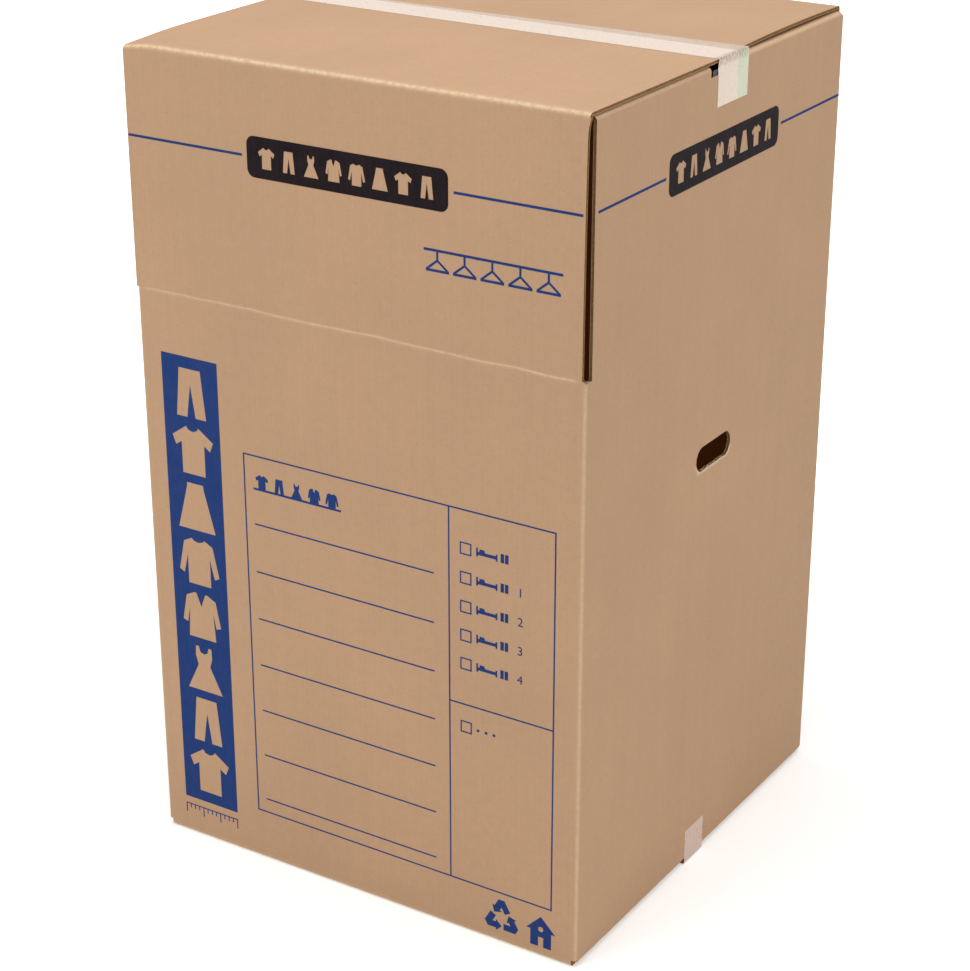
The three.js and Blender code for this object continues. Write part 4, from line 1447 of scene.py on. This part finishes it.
def bed(width, height):
    """A bed seen from the side, beside a closet with two doors."""
    post = 0.2 * height
    long = 0.66 * width
    frame_low, frame_high = 0.2 * height, 0.56 * height
    outline = [
        (0, 0), (post, 0), (post, frame_low), (long - post, frame_low), (long - post, 0), (long, 0),
        (long, 0.76 * height), (long - post, 0.76 * height), (long - post, frame_high),
        (0.42 * long, frame_high), (0.38 * long, 0.86 * height), (2 * post, 0.86 * height),
        (2 * post, frame_high), (post, frame_high), (post, height), (0, height),
    ]
    closet = 0.76 * width
    middle = (closet + width) / 2
    slit = 0.06 * height
    return [outline, block(closet, middle - slit, 0, height), block(middle + slit, width, 0, height)]


def house(width, height):
    """A gabled house with a door and a window left open."""
    eaves = 0.52 * height
    wall = 0.14 * width
    door, lintel = 0.09 * width, 0.32 * height
    walls = [
        (wall, 0), (width / 2 - door, 0), (width / 2 - door, lintel), (width / 2 + door, lintel),
        (width / 2 + door, 0), (width - wall, 0), (width - wall, eaves), (width, eaves),
        (width / 2, height), (0, eaves), (wall, eaves),
    ]
    return [walls, round_dot(width / 2, 0.58 * height, 0.09 * width)]


def turned(points, angle):
    """Points turned round the origin."""
    cosine, sine = math.cos(angle), math.sin(angle)
    return [(x * cosine - y * sine, x * sine + y * cosine) for x, y in points]


def chasing_arrows(size_across):
    """Three bent arrows that follow each other round a triangle."""
    inner = 0.25 * size_across
    line = 0.092 * size_across
    head = 0.165 * size_across
    point = 0.17 * size_across
    # An arrow runs along the foot of the triangle, turns at its corner and ends half way up
    along = Vector((math.cos(math.radians(120)), math.sin(math.radians(120))))
    out = Vector((along.y, -along.x))
    corner = Vector((inner * math.sqrt(3), -inner))
    neck = corner + along * (0.62 * inner * math.sqrt(3))
    inside = Vector(((inner - line) * math.sqrt(3), line - inner))
    start = 0.25 * inner
    cut = 0.9 * line
    arrow = [
        Vector((start, -inner - line)), Vector((corner.x - 0.2 * cut, -inner - line)),
        corner + out * line + along * (0.2 * cut), neck + out * line, neck + out * head,
        neck + along * point, neck - out * head, neck - out * line, inside,
        Vector((start, line - inner)),
    ]
    return [turned(arrow, 2 * math.pi * number / 3) for number in range(3)]


def on_front(mesh, x, z, ink, level):
    """Puts a flat mesh on the front wall with its origin at x and z."""
    matrix = Matrix((Vector((1, 0, 0)), UP, Vector((0, -1, 0)))).transposed().to_4x4()
    place = Matrix.Translation(Vector((x, -level.half_y - ink / 2, z)))
    mesh.transform(place @ matrix)
    return mesh


class WARDROBE_OT_print_signs(bpy.types.Operator):
    """Print the beds, numbers and dots beside the check boxes and the two signs below"""
    bl_idname = "wardrobe_box.print_signs"
    bl_label = "Print signs"

    def execute(self, context):
        settings = context.scene.wardrobe_box
        printing = settings.print
        level = box_levels(settings.board)
        ink = printing.ink
        blue = bpy.data.materials["blue_flexo_ink"]
        height = printing.label_height
        # Each sign by its name, with its mesh and its place on the front
        signs = {}
        for number in range(1, 6):
            low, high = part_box(f"check_box_{number}")
            left = high.x + printing.label_gap
            base = (low.z + high.z - height) / 2
            width = BED_WIDTH * height
            signs[f"bed_sign_{number}"] = (flat_mesh(bed(width, height), ink), left, base)
            if number > 1:
                digit = digit_mesh(str(number - 1), height, ink)
                signs[f"bed_number_{number}"] = (digit, left + width + DIGIT_GAP * height, base)
        low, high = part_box("check_box_6")
        dots = [round_dot((0.2 + number) * height, 0, 0.17 * height) for number in range(3)]
        middle = (low.z + high.z) / 2
        signs["other_dots"] = (flat_mesh(dots, ink), high.x + printing.label_gap, middle)
        arrows = flat_mesh(chasing_arrows(printing.arrows_across), ink)
        signs["recycling_sign"] = (arrows, *ARROWS_PLACE)
        home = flat_mesh(house(printing.house_width, printing.house_height), ink)
        signs["house_sign"] = (home, *HOUSE_PLACE)
        for name, (mesh, x, z) in signs.items():
            mesh = on_front(mesh, x, z, ink, level)
            mesh.materials.clear()
            mesh.materials.append(blue)
            link_piece(name, mesh)
        return {"FINISHED"}


# Stage

FLOOR_HALF = 20
FLOOR_HEIGHT = -0.3 * MM
WHITE = (1, 1, 1, 1)
SENSOR_WIDTH = 36

# The floor's glow grows between these distances from the box
NEAR_FLOOR = 0.5
FAR_FLOOR = 1.6

# Each lamp's name, place and width, and the point that all of them face
LAMPS = [
    ("key", (-1.6, -3.4, 2.6), 2.6),
    ("top", (0.2, -0.2, 4.0), 3.0),
    ("fill", (3.6, 0.4, 1.8), 2.4),
]
LAMP_AIM = Vector((0, 0, 0.5))


def add_lamp(name, place, across, watts):
    """A round, soft lamp that faces the box."""
    lamp = bpy.data.lights.new(name, "AREA")
    lamp.shape = "DISK"
    lamp.size = across
    lamp.energy = watts
    holder = bpy.data.objects.new(name, lamp)
    holder.location = place
    holder.rotation_euler = (LAMP_AIM - Vector(place)).to_track_quat("-Z", "Y").to_euler()
    bpy.context.scene.collection.objects.link(holder)


def seen_directly(tree):
    """1 for rays from the camera, from a mirror or through glass, and 0 for light."""
    path = add_node(tree, "ShaderNodeLightPath").outputs
    seen = path["Is Camera Ray"]
    for ray in ("Is Glossy Ray", "Is Transmission Ray"):
        seen = add_node(tree, MATH, {0: seen, 1: path[ray]}, operation="MAXIMUM")
    return seen


class WARDROBE_OT_set_stage(bpy.types.Operator):
    """Set the floor, the soft lights, the background and the camera"""
    bl_idname = "wardrobe_box.set_stage"
    bl_label = "Set stage"

    def execute(self, context):
        scene = context.scene
        stage = scene.wardrobe_box.stage

        # Painted studio floor: even and matt, and white to the eye away from the shadow
        floor_paint, tree, shader = new_material("matt_floor_paint")
        place = add_node(tree, "ShaderNodeTexCoord").outputs["Object"]
        length = add_node(tree, "ShaderNodeVectorMath", {0: place}, operation="LENGTH")
        ramp = {0: length.outputs["Value"], 1: NEAR_FLOOR, 2: FAR_FLOOR, 3: stage.floor_glow, 4: 1}
        glow = add_node(tree, RANGE, ramp)
        glow = add_node(tree, MATH, {0: glow, 1: seen_directly(tree)}, operation="MULTIPLY")
        feed(tree, shader, {
            "Base Color": rgba(stage.floor), "Roughness": 0.9, "Specular IOR Level": 0.1,
            "Emission Color": WHITE, "Emission Strength": glow,
        })
        mesh = bpy.data.meshes.new("studio_floor")
        corners = [(-1, -1), (1, -1), (1, 1), (-1, 1)]
        corners = [(x * FLOOR_HALF, y * FLOOR_HALF, FLOOR_HEIGHT) for x, y in corners]
        mesh.from_pydata(corners, [], [(0, 1, 2, 3)])
        mesh.materials.append(floor_paint)
        floor = bpy.data.objects.new("studio_floor", mesh)
        scene.collection.objects.link(floor)

        for name, place, across in LAMPS:
            add_lamp(f"{name}_lamp", place, across, getattr(stage, f"{name}_power"))

        world = bpy.data.worlds.new("studio_world")
        world.use_nodes = True
        scene.world = world
        tree = world.node_tree
        ramp = {0: seen_directly(tree), 1: 0, 2: 1, 3: stage.world_light, 4: 1}
        background = {"Color": WHITE, "Strength": add_node(tree, RANGE, ramp)}
        feed(tree, tree.nodes["Background"], background)

        data = bpy.data.cameras.new("camera")
        data.sensor_fit = "HORIZONTAL"
        data.sensor_width = SENSOR_WIDTH
        data.lens = stage.lens
        camera = bpy.data.objects.new("camera", data)
        camera.location = stage.camera_place
        level_reach = math.cos(stage.elevation)
        view = Vector((
            -math.sin(stage.azimuth) * level_reach,
            math.cos(stage.azimuth) * level_reach,
            -math.sin(stage.elevation),
        ))
        camera.rotation_euler = view.to_track_quat("-Z", "Y").to_euler()
        scene.collection.objects.link(camera)
        scene.camera = camera
        scene.view_settings.view_transform = "Standard"
        return {"FINISHED"}


# Panel and registration

OPERATORS = [
    WARDROBE_OT_set_stage,
    WARDROBE_OT_fold_carton,
    WARDROBE_OT_show_flutes,
    WARDROBE_OT_lay_tape,
    WARDROBE_OT_galvanise_bar,
    WARDROBE_OT_ink_print,
    WARDROBE_OT_print_signs,
]


class WARDROBE_PT_box(bpy.types.Panel):
    """Lists the steps that dress the wardrobe box"""
    bl_idname = "WARDROBE_PT_box"
    bl_label = "Wardrobe Box"
    bl_space_type = "VIEW_3D"
    bl_region_type = "UI"
    bl_category = "Wardrobe Box"

    def draw(self, context):
        for operator in OPERATORS:
            self.layout.operator(operator.bl_idname)


SETTINGS = [BoardSettings, TapeSettings, PrintSettings, StageSettings, BoxSettings]
CLASSES = [*SETTINGS, *OPERATORS, WARDROBE_PT_box]


def register():
    for item in CLASSES:
        bpy.utils.register_class(item)
    bpy.types.Scene.wardrobe_box = PointerProperty(type=BoxSettings)


def unregister():
    del bpy.types.Scene.wardrobe_box
    for item in reversed(CLASSES):
        bpy.utils.unregister_class(item)


def main():
    register()
    for operator in OPERATORS:
        category, name = operator.bl_idname.split(".")
        getattr(getattr(bpy.ops, category), name)()


if __name__ == "__main__":
    main()
